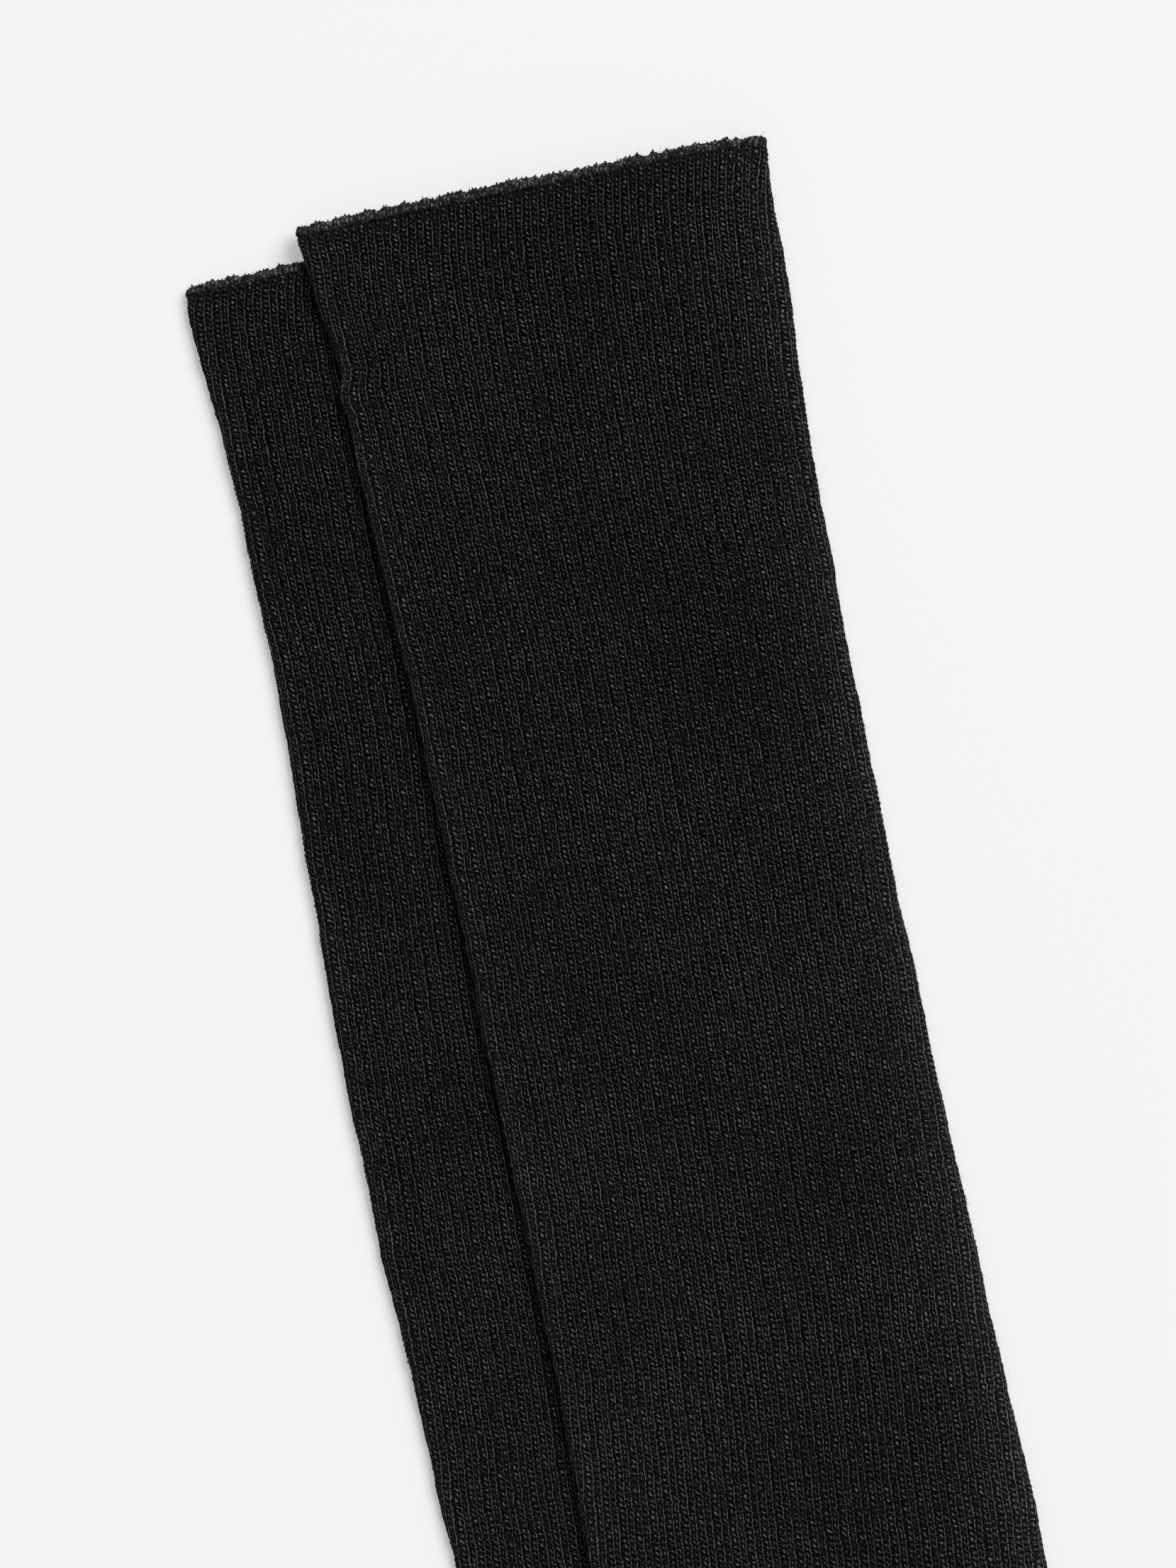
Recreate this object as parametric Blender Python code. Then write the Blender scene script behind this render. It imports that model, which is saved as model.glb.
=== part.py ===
"""A pair of knee socks laid flat, the upper sock lying over the lower one.

Each sock is one knitted tube: an open cuff, a leg, a heel that turns the tube towards the
toes, a foot and a closed toe. Lying flat, the tube is two layers of cloth, one on the other,
that meet in a rounded fold along the calf, heel and sole and in another along the shin and
instep. The lower sock lies on the ground. The upper sock rests on it and drapes down to the
ground past the lower sock's edge.

Frame: X towards the shin and the toes, Y towards the cuffs, Z up. The origin is at the
middle of the pair's footprint, on the ground. Tables are in millimetres, the rest in metres.
"""

import math
from typing import NamedTuple

import bmesh
import bpy
from mathutils import Vector

MM = 0.001

# Cloth
WALL = 1.2 * MM             # one layer of knitted cloth
MOUTH_GAP = 0.6 * MM        # slit between the two layers of a sock
STACK = 2 * WALL + MOUTH_GAP
FOLD_REACH = 4.5 * MM       # from a side fold to the sock's full height
ROLL_PROUD = 0.15 * MM      # rolled self edge of the cuff, above the cloth
REST_GAP = 0.25 * MM        # between the upper sock and the rolled edge below it

# Drape of the upper sock past the lower sock's edge
DRAPE_START = 3.0 * MM      # it leaves full height this far outside the edge
DRAPE_END = 15.0 * MM       # and lies on the ground from here on

# Ankle and foot
LEG_LENGTH = 335 * MM       # from the rim to where the tube starts to turn
FOOT_TURN = math.radians(65)
BEND_RADIUS = 45 * MM       # inside bend, from shin to instep
HEEL_SHARPNESS = 10         # how closely the heel follows the corner of calf and sole
HEEL_BULGE = 5 * MM
TOE_START = 92 * MM         # along the foot, from the end of the turn
FOOT_LENGTH = 140 * MM      # from the end of the turn to the toe's tip
TOE_ROUNDNESS = 2.4         # 2 is an ellipse, more is squarer
TIP_CLEAR = 0.3 * MM        # from the toe's tip to the outer face's last section
INNER_TIP_CLEAR = 3.2 * MM  # and to the inner face's

# Divisions
LEG_STEPS = 17
LEG_SPREAD = 1.2            # sections lie closer together towards the cuff
TURN_STEPS = 12
FOOT_STEPS = 5
TOE_STEPS = 7
ACROSS_STEPS = 12
FOLD_STEPS = 3

SHADE_ANGLE = math.radians(50)


class RimRow(NamedTuple):
    """Height of the cuff's rolled edge above the cloth, in millimetres."""

    down: float
    proud: float


RIM_ROWS = (
    RimRow(0.4, -0.15),
    RimRow(0.9, 0.15),
    RimRow(1.5, 0.10),
    RimRow(2.1, -0.15),
    RimRow(3.2, 0.0),
)


class LegRow(NamedTuple):
    """Half widths of the flat leg at a distance down from the rim, in millimetres."""

    down: float
    calf: float
    shin: float


LEG_ROWS = (
    LegRow(0, 47.4, 47.3),
    LegRow(5, 47.6, 46.7),
    LegRow(12, 47.5, 46.3),
    LegRow(25, 46.5, 45.9),
    LegRow(40, 46.0, 44.9),
    LegRow(60, 45.3, 43.7),
    LegRow(80, 44.7, 42.9),
    LegRow(100, 44.5, 42.5),
    LegRow(140, 44.3, 42.1),
    LegRow(180, 44.5, 42.1),
    LegRow(220, 44.4, 42.6),
    LegRow(255, 45.0, 43.1),
    LegRow(288, 45.6, 43.6),
    LegRow(310, 44.4, 42.4),
    LegRow(335, 42.0, 40.4),
)


class FootRow(NamedTuple):
    """Half widths of the flat foot at a distance past the turn, in millimetres."""

    along: float
    sole: float
    instep: float


FOOT_ROWS = (
    FootRow(0, 41.2, 41.2),
    FootRow(30, 40.4, 40.6),
    FootRow(65, 40.6, 39.6),
    FootRow(92, 41.0, 38.6),
    FootRow(140, 41.0, 38.0),
)


class DriftRow(NamedTuple):
    """Sideways shift of a leg at a distance down from its rim, in millimetres."""

    down: float
    shift: float


class Lay(NamedTuple):
    """How one sock of the pair lies: its rim below the upper rim, and its leg's drift."""

    name: str
    rim_drop: float
    drift: tuple


LOWER = Lay(
    "lower_sock",
    6.0 * MM,
    (
        DriftRow(0, -24.2),
        DriftRow(50, -24.5),
        DriftRow(95, -26.0),
        DriftRow(135, -27.9),
        DriftRow(195, -28.4),
        DriftRow(235, -27.3),
        DriftRow(275, -25.6),
        DriftRow(335, -24.5),
    ),
)
UPPER = Lay("upper_sock", 0.0, (DriftRow(0, 0.0), DriftRow(335, 0.0)))


def read_rows(rows: tuple, column: str, at: float) -> float:
    """Read a table's column at a distance along the sock, on a smooth curve, in metres."""
    stations = [row[0] * MM for row in rows]
    values = [getattr(row, column) * MM for row in rows]
    at = min(max(at, stations[0]), stations[-1])
    last = len(rows) - 1
    i = max(k for k in range(last) if stations[k] <= at)
    rises = [(values[k + 1] - values[k]) / (stations[k + 1] - stations[k]) for k in range(last)]

    def slope(k: int) -> float:
        return (rises[max(k - 1, 0)] + rises[min(k, last - 1)]) / 2

    span = stations[i + 1] - stations[i]
    t = (at - stations[i]) / span
    start = values[i] * (1 + 2 * t) * (1 - t) ** 2 + slope(i) * span * t * (1 - t) ** 2
    end = values[i + 1] * (3 - 2 * t) * t ** 2 - slope(i + 1) * span * t ** 2 * (1 - t)
    return start + end


class Rung(NamedTuple):
    """A straight section of the flat sock: its fold points, and its place along the sock."""

    heel_side: Vector
    instep_side: Vector
    down: float = LEG_LENGTH        # from the rim, and the leg's whole length past the ankle
    to_tip: float = FOOT_LENGTH     # to the toe's tip, where that is near


def heel_reach(turn: float, from_leg: float, from_foot: float) -> float:
    """Distance from the bend's centre to the heel fold, rounding calf line into sole line."""
    calf = (math.cos(turn) / from_leg) ** HEEL_SHARPNESS
    sole = (math.cos(FOOT_TURN - turn) / from_foot) ** HEEL_SHARPNESS
    bulge = HEEL_BULGE * math.sin(math.pi * turn / FOOT_TURN) ** 2
    return (calf + sole) ** (-1 / HEEL_SHARPNESS) + bulge


def leg_rung(down: float) -> Rung:
    """Section of the leg at a distance down from the rim."""
    heel_side = Vector((-read_rows(LEG_ROWS, "calf", down), -down))
    instep_side = Vector((read_rows(LEG_ROWS, "shin", down), -down))
    return Rung(heel_side, instep_side, down=down)


def turn_rung(turn: float) -> Rung:
    """Section through the heel, on a ray from the centre of the inside bend."""
    shin = read_rows(LEG_ROWS, "shin", LEG_LENGTH)
    calf = read_rows(LEG_ROWS, "calf", LEG_LENGTH)
    foot = MM * (FOOT_ROWS[0].sole + FOOT_ROWS[0].instep)
    centre = Vector((shin + BEND_RADIUS, -LEG_LENGTH))
    ray = Vector((-math.cos(turn), -math.sin(turn)))
    reach = heel_reach(turn, calf + shin + BEND_RADIUS, foot + BEND_RADIUS)
    return Rung(centre + ray * reach, centre + ray * BEND_RADIUS)


def foot_rung(along: float) -> Rung:
    """Section of the foot at a distance past the turn, narrowing round the toe."""
    turned = turn_rung(FOOT_TURN)
    across = (turned.heel_side - turned.instep_side).normalized()
    forward = Vector((-across.y, across.x))
    middle = turned.instep_side + across * MM * FOOT_ROWS[0].instep + forward * along
    past = max(along - TOE_START, 0.0) / (FOOT_LENGTH - TOE_START)
    narrow = (1 - past ** TOE_ROUNDNESS) ** (1 / TOE_ROUNDNESS)
    heel_side = middle + across * narrow * read_rows(FOOT_ROWS, "sole", along)
    instep_side = middle - across * narrow * read_rows(FOOT_ROWS, "instep", along)
    return Rung(heel_side, instep_side, to_tip=FOOT_LENGTH - along)


def tube_rungs() -> list:
    """Sections from below the rolled edge to the toe's tip, in the sock's own frame."""
    start = MM * RIM_ROWS[-1].down
    run = LEG_LENGTH - start
    leg = [leg_rung(start + run * (k / LEG_STEPS) ** LEG_SPREAD) for k in range(1, LEG_STEPS + 1)]
    turned = [turn_rung(FOOT_TURN * k / TURN_STEPS) for k in range(1, TURN_STEPS + 1)]
    foot = [foot_rung(TOE_START * k / FOOT_STEPS) for k in range(1, FOOT_STEPS + 1)]
    toe_run = FOOT_LENGTH - TIP_CLEAR - TOE_START
    quarter = math.pi / 2
    toe = [
        foot_rung(TOE_START + toe_run * math.sin(quarter * k / TOE_STEPS))
        for k in range(1, TOE_STEPS + 1)
    ]
    return leg + turned + foot + toe


def lay_down(rung: Rung, lay: Lay) -> Rung:
    """Move a section to where its sock lies in the pair."""
    move = Vector((read_rows(lay.drift, "shift", rung.down), -lay.rim_drop))
    return rung._replace(heel_side=rung.heel_side + move, instep_side=rung.instep_side + move)


def round_off(part: float) -> float:
    """Height of a rounded edge, from 0 at the edge to 1 where it is full."""
    part = min(max(part, 0.0), 1.0)
    return math.sqrt(1 - (1 - part) ** 2)


def ring(rung: Rung, half: float, inset: float = 0.0, proud: float = 0.0) -> list:
    """Closed loop round one section: over the top layer and back under the bottom one.

    half is half the loop's full height, inset draws it in from the folds and the toe's tip,
    and proud raises its top. Each entry is a place in plan and a height off the middle.
    """
    across = rung.instep_side - rung.heel_side
    width = across.length
    across = across / width
    reach = min(FOLD_REACH, 0.45 * width) - inset
    low = inset
    high = width - inset
    fold = [reach * (1 - math.cos(math.pi / 2 * k / FOLD_STEPS)) for k in range(1, FOLD_STEPS + 1)]
    flat = high - low - 2 * reach
    places = [low + step for step in fold]
    places += [low + reach + flat * k / ACROSS_STEPS for k in range(1, ACROSS_STEPS)]
    places += [high - step for step in reversed(fold)]
    tip = round_off((rung.to_tip - inset) / (FOLD_REACH - inset))

    def point(place: float, height: float) -> tuple:
        edge = round_off(min(place - low, high - place) / reach)
        return (rung.heel_side + across * place, height * edge * tip)

    top = [point(place, half + proud) for place in places]
    bottom = [point(place, -half) for place in reversed(places)]
    return [point(low, 0.0)] + top + [point(high, 0.0)] + bottom


def outline(lay: Lay) -> list:
    """Plan outline of a sock: down its heel side and back up its instep side."""
    rungs = [lay_down(rung, lay) for rung in [leg_rung(0.0)] + tube_rungs()]
    return [rung.heel_side for rung in rungs] + [rung.instep_side for rung in reversed(rungs)]


def outside(place: Vector, shape: list) -> float:
    """Distance from a place in plan to a closed outline, negative inside it."""
    nearest = math.inf
    inside = False
    for k, start in enumerate(shape):
        end = shape[(k + 1) % len(shape)]
        side = end - start
        part = min(max((place - start).dot(side) / side.length_squared, 0.0), 1.0)
        nearest = min(nearest, (place - start - side * part).length)
        if (start.y > place.y) != (end.y > place.y):
            crossing = start.x + side.x * (place.y - start.y) / side.y
            inside = inside != (place.x < crossing)
    return -nearest if inside else nearest


def ground(place: Vector, below: list) -> float:
    """Height of what a sock lies on: the bare ground, or the sock below and its edge."""
    if not below:
        return 0.0
    out = (outside(place, below) - DRAPE_START) / (DRAPE_END - DRAPE_START)
    out = min(max(out, 0.0), 1.0)
    return (STACK + ROLL_PROUD + REST_GAP) * (1 - out * out * (3 - 2 * out))


def tube_loops(lay: Lay) -> list:
    """Loops of one sock: its inner face from the toe up, its lip, and its outer face."""
    tube = [lay_down(rung, lay) for rung in tube_rungs()]
    deep = [rung for rung in tube if rung.to_tip > INNER_TIP_CLEAR]
    inner = [ring(rung, MOUTH_GAP / 2, inset=WALL) for rung in deep]
    mouth = lay_down(leg_rung(MM * RIM_ROWS[0].down), lay)
    inner.insert(0, ring(mouth, MOUTH_GAP / 2, inset=WALL))
    lip = ring(lay_down(leg_rung(0.0), lay), (STACK + MOUTH_GAP) / 4, inset=WALL / 2)
    roll = []
    for row in RIM_ROWS:
        rung = lay_down(leg_rung(MM * row.down), lay)
        roll.append(ring(rung, STACK / 2, proud=MM * row.proud))
    outer = [ring(rung, STACK / 2) for rung in tube]
    return list(reversed(inner)) + [lip] + roll + outer


def knit_tube(lay: Lay, below: list, shift: Vector) -> bpy.types.Mesh:
    """Mesh of one sock, lying on the sock whose outline is below."""
    loops = tube_loops(lay)
    mesh = bmesh.new()
    rows = []
    for loop in loops:
        row = []
        for place, height in loop:
            z = ground(place, below) + STACK / 2 + height
            row.append(mesh.verts.new((place.x + shift.x, place.y + shift.y, z)))
        rows.append(row)
    count = len(rows[0])
    for first, second in zip(rows, rows[1:]):
        for k in range(count):
            n = (k + 1) % count
            mesh.faces.new((first[k], first[n], second[n], second[k]))
    for row in (rows[0], rows[-1]):
        close_end(mesh, row)
    bmesh.ops.recalc_face_normals(mesh, faces=mesh.faces)
    data = bpy.data.meshes.new("knit_tube")
    mesh.to_mesh(data)
    mesh.free()
    return data


def close_end(mesh: bmesh.types.BMesh, row: list) -> None:
    """Join the top of a loop to its bottom across the closed toe."""
    half = len(row) // 2
    for k in range(half):
        top = (row[k], row[k + 1])
        bottom = (row[-k - 1], row[-k])
        corners = list(dict.fromkeys((top[0], top[1], bottom[0], bottom[1])))
        mesh.faces.new(corners)


def black_wool() -> bpy.types.Material:
    """Matt black knitted wool."""
    material = bpy.data.materials.new("black_wool_knit")
    material.use_nodes = True
    shader = material.node_tree.nodes["Principled BSDF"]
    shader.inputs["Base Color"].default_value = (0.012, 0.012, 0.012, 1.0)
    shader.inputs["Roughness"].default_value = 0.95
    shader.inputs["Metallic"].default_value = 0.0
    return material


def make_sock(lay: Lay, below: list, shift: Vector) -> bpy.types.Object:
    """Add one sock of the pair to the scene."""
    data = knit_tube(lay, below, shift)
    data.materials.append(black_wool())
    data.shade_smooth()
    data.set_sharp_from_angle(angle=SHADE_ANGLE)
    sock = bpy.data.objects.new(lay.name, data)
    bpy.context.scene.collection.objects.link(sock)
    return sock


def main() -> None:
    """Build the pair, with the middle of its footprint at the origin."""
    for thing in list(bpy.data.objects):
        bpy.data.objects.remove(thing)
    lower_edge = outline(LOWER)
    edges = lower_edge + outline(UPPER)
    xs = [place.x for place in edges]
    ys = [place.y for place in edges]
    shift = Vector((-(min(xs) + max(xs)) / 2, -(min(ys) + max(ys)) / 2))
    make_sock(LOWER, [], shift)
    make_sock(UPPER, lower_edge, shift)


main()
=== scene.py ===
"""A pair of black wool knee socks laid flat, one lying over the other.

Each sock is one knitted tube. It is dressed here in stretches from the cuff to the toe, each a
thin shell of cloth with an outer and an inner face. The outer face carries the stitches as real
relief, laid out on the needles and courses of the knitting. A rolled edge closes the cuff, and
loose fibres stand off the edges and lie on the faces.

Sizes are in millimetres and turn to metres where a mesh is made. A sock's own plan has its
rim's middle at the origin, X towards the shin and Y towards the cuff.
"""

import logging
import math
from dataclasses import dataclass, field
from enum import Enum
from typing import NamedTuple

import bpy
import numpy as np
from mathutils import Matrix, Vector


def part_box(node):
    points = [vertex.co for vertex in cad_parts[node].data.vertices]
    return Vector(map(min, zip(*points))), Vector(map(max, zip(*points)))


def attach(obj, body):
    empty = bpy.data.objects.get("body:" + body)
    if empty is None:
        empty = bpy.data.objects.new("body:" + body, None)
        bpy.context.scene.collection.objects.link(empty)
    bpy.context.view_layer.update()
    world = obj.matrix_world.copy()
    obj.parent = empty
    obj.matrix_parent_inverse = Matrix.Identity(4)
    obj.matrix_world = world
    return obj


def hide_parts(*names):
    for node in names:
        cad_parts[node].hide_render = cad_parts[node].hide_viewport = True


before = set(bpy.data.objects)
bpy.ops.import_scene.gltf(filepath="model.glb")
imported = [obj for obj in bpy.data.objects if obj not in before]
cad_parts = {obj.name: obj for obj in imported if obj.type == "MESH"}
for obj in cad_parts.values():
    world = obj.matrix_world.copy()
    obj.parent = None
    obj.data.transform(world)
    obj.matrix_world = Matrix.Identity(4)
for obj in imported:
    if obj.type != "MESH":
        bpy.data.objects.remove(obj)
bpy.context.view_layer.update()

LOG = logging.getLogger("socks")
MM = 0.001
TAU = 2 * math.pi
BODY = "root"
KNIT_MAP = "Knit"
BAKE_MAP = "OFBake"
# The painted light and shade that the knitting's points carry to its material.
PAINTED_LIGHT = "PaintedLight"
NOISE = "ShaderNodeTexNoise"
SHARP = math.radians(75)  # edges sharper than this stay hard
TINY = 1e-9  # keeps a division from being by nothing

Array = np.ndarray


# ---------------------------------------------------------------- tables


class LegRow(NamedTuple):
    """Half widths of the flat leg at a distance down from the rim, in millimetres."""

    down: float
    calf: float
    shin: float


class FootRow(NamedTuple):
    """Half widths of the flat foot at a distance past the ankle, in millimetres."""

    along: float
    sole: float
    instep: float


class DriftRow(NamedTuple):
    """Sideways shift of a leg, or of one fold of it, at a distance down from the rim, in millimetres."""

    down: float
    shift: float


class GaugeRow(NamedTuple):
    """Course height, and how far the wales have wound round the tube, in millimetres."""

    down: float
    course: float
    wound: float


class RimRow(NamedTuple):
    """How far the rim stands past its own line at a place across it, in millimetres."""

    across: float
    rise: float


class CreaseRow(NamedTuple):
    """A soft trough pressed into the upper face: its middle, size, lean and depth."""

    down: float
    across: float
    length: float
    width: float
    lean: float
    depth: float


LEG_ROWS = (
    LegRow(0, 47.4, 47.3),
    LegRow(5, 47.6, 46.7),
    LegRow(12, 47.5, 46.3),
    LegRow(25, 46.5, 45.9),
    LegRow(40, 46.0, 44.9),
    LegRow(60, 45.3, 43.7),
    LegRow(80, 44.7, 42.9),
    LegRow(100, 44.5, 42.5),
    LegRow(140, 44.3, 42.1),
    LegRow(180, 44.5, 42.1),
    LegRow(220, 44.4, 42.6),
    LegRow(255, 45.0, 43.1),
    LegRow(288, 45.6, 43.6),
    LegRow(310, 44.4, 42.4),
    LegRow(335, 42.0, 40.4),
)

FOOT_ROWS = (
    FootRow(0, 41.2, 41.2),
    FootRow(30, 40.4, 40.6),
    FootRow(65, 40.6, 39.6),
    FootRow(92, 41.0, 38.6),
    FootRow(140, 41.0, 38.0),
)

GAUGE_ROWS = (
    GaugeRow(0, 0.98, 0.0),
    GaugeRow(15, 0.99, 2.0),
    GaugeRow(30, 1.02, 3.1),
    GaugeRow(60, 1.09, 3.2),
    GaugeRow(90, 1.12, 2.8),
    GaugeRow(120, 1.14, 3.3),
    GaugeRow(160, 1.14, 4.1),
    GaugeRow(200, 1.14, 5.5),
    GaugeRow(240, 1.15, 8.1),
    GaugeRow(280, 1.19, 11.9),
    GaugeRow(335, 1.19, 14.3),
)

LOWER_DRIFT = (
    DriftRow(0, -24.2),
    DriftRow(50, -24.5),
    DriftRow(95, -26.0),
    DriftRow(135, -27.9),
    DriftRow(195, -28.4),
    DriftRow(235, -27.3),
    DriftRow(275, -25.6),
    DriftRow(335, -24.5),
)

UPPER_TUCK = (
    DriftRow(0, -0.3),
    DriftRow(4, 0.1),
    DriftRow(8, 0.7),
    DriftRow(13, 0.8),
    DriftRow(18, 1.2),
    DriftRow(22, 1.6),
    DriftRow(26, 1.7),
    DriftRow(29.5, 2.0),
    DriftRow(32, 0.8),
    DriftRow(34, 0.4),
    DriftRow(38, 0.8),
    DriftRow(44, 0.5),
    DriftRow(100, 0.4),
    DriftRow(180, 0.5),
    DriftRow(250, 0.5),
    DriftRow(335, 0.2),
)

NO_SHIFT = (DriftRow(0, 0.0), DriftRow(335, 0.0))

UPPER_RIM = (
    RimRow(-47, 0.9),
    RimRow(-43, 1.0),
    RimRow(-11, 1.1),
    RimRow(3, 0.9),
    RimRow(16, 0.6),
    RimRow(28, 0.9),
    RimRow(37, 0.6),
    RimRow(44, 0.1),
)

LOWER_RIM = (
    RimRow(-47, 0.0),
    RimRow(-36, 0.1),
    RimRow(-30, 0.3),
    RimRow(44, 0.3),
)

UPPER_CREASES = (
    CreaseRow(29, -41, 13, 4, -66, 0.60),
    CreaseRow(45, -41, 26, 7, 62, 0.45),
    CreaseRow(52, -20, 40, 12, 78, 0.30),
    CreaseRow(96, 12, 60, 16, 20, 0.22),
    CreaseRow(132, -18, 70, 15, -24, 0.24),
    CreaseRow(171, 20, 52, 13, 35, 0.20),
    CreaseRow(205, -8, 64, 18, -12, 0.24),
    CreaseRow(248, 16, 58, 14, 28, 0.22),
    CreaseRow(283, -22, 50, 13, -40, 0.22),
    CreaseRow(322, 6, 56, 14, 66, 0.30),
)

LOWER_CREASES = (
    CreaseRow(46, -38, 24, 7, 66, 0.45),
    CreaseRow(112, -36, 60, 10, 8, 0.20),
    CreaseRow(188, -34, 66, 12, -10, 0.22),
    CreaseRow(262, -36, 50, 10, 14, 0.20),
)


def read_rows(rows: tuple, column: str, at: Array) -> Array:
    """Read a table's column on a smooth curve.

    Args:
        rows: Table rows, the first column being the distance.
        column: Name of the column to read.
        at: Distances to read it at.

    Returns:
        The column's value at each distance.
    """
    stations = np.array([row[0] for row in rows], float)
    values = np.array([getattr(row, column) for row in rows], float)
    at = np.clip(at, stations[0], stations[-1])
    i = np.clip(np.searchsorted(stations, at, side="right") - 1, 0, len(rows) - 2)
    rises = np.diff(values) / np.diff(stations)
    slopes = np.concatenate([rises[:1], (rises[:-1] + rises[1:]) / 2, rises[-1:]])
    span = stations[i + 1] - stations[i]
    t = (at - stations[i]) / span
    start = values[i] * (1 + 2 * t) * (1 - t) ** 2 + slopes[i] * span * t * (1 - t) ** 2
    end = values[i + 1] * (3 - 2 * t) * t**2 - slopes[i + 1] * span * t**2 * (1 - t)
    return start + end


def smooth_step(part: Array) -> Array:
    """Ease from 0 to 1 as part goes from 0 to 1."""
    part = np.clip(part, 0.0, 1.0)
    return part * part * (3 - 2 * part)


def round_off(part: Array) -> Array:
    """Height of a rounded edge, from 0 at the edge to 1 where it is full."""
    return np.sqrt(1 - (1 - np.clip(part, 0.0, 1.0)) ** 2)


def unit(vectors: Array) -> Array:
    """The same directions with a length of 1."""
    return vectors / np.maximum(np.linalg.norm(vectors, axis=-1, keepdims=True), TINY)


def closed_up(grid: Array, axis: int = 0) -> Array:
    """A grid that ends with its own first row or column again."""
    return np.concatenate([grid, np.take(grid, [0], axis)], axis)


def away_from(line: Array, x: Array, y: Array) -> Array:
    """Distance of places from an open line of points."""
    nearest = np.full(x.shape, np.inf)
    for start, end in zip(line[:-1], line[1:], strict=True):
        side = end - start
        length = max(float(side @ side), TINY)
        part = np.clip(((x - start[0]) * side[0] + (y - start[1]) * side[1]) / length, 0, 1)
        away = (x - start[0] - part * side[0]) ** 2 + (y - start[1] - part * side[1]) ** 2
        nearest = np.minimum(nearest, away)
    return np.sqrt(nearest)


def within(line: Array, x: Array, y: Array) -> Array:
    """Whether places lie inside a line of points that ends where it starts."""
    inside = np.zeros(x.shape, bool)
    for start, end in zip(line[:-1], line[1:], strict=True):
        if start[1] != end[1]:
            crossing = start[0] + (end[0] - start[0]) * (y - start[1]) / (end[1] - start[1])
            inside ^= ((start[1] > y) != (end[1] > y)) & (x < crossing)
    return inside


# ---------------------------------------------------------------- the flat sock


@dataclass(frozen=True)
class Sections:
    """Straight sections across a flat sock, from the rim to the toe's tip."""

    station: Array
    heel_side: Array
    instep_side: Array
    to_tip: Array

    def at(self, station: Array) -> tuple[Array, Array, Array]:
        """Interpolate the sections.

        Args:
            station: Distances from the rim along the sock.

        Returns:
            The heel-side fold points, the instep-side fold points and the distance to the tip.
        """
        heel = [np.interp(station, self.station, self.heel_side[:, k]) for k in (0, 1)]
        instep = [np.interp(station, self.station, self.instep_side[:, k]) for k in (0, 1)]
        to_tip = np.interp(station, self.station, self.to_tip)
        return np.stack(heel, -1), np.stack(instep, -1), to_tip


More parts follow.
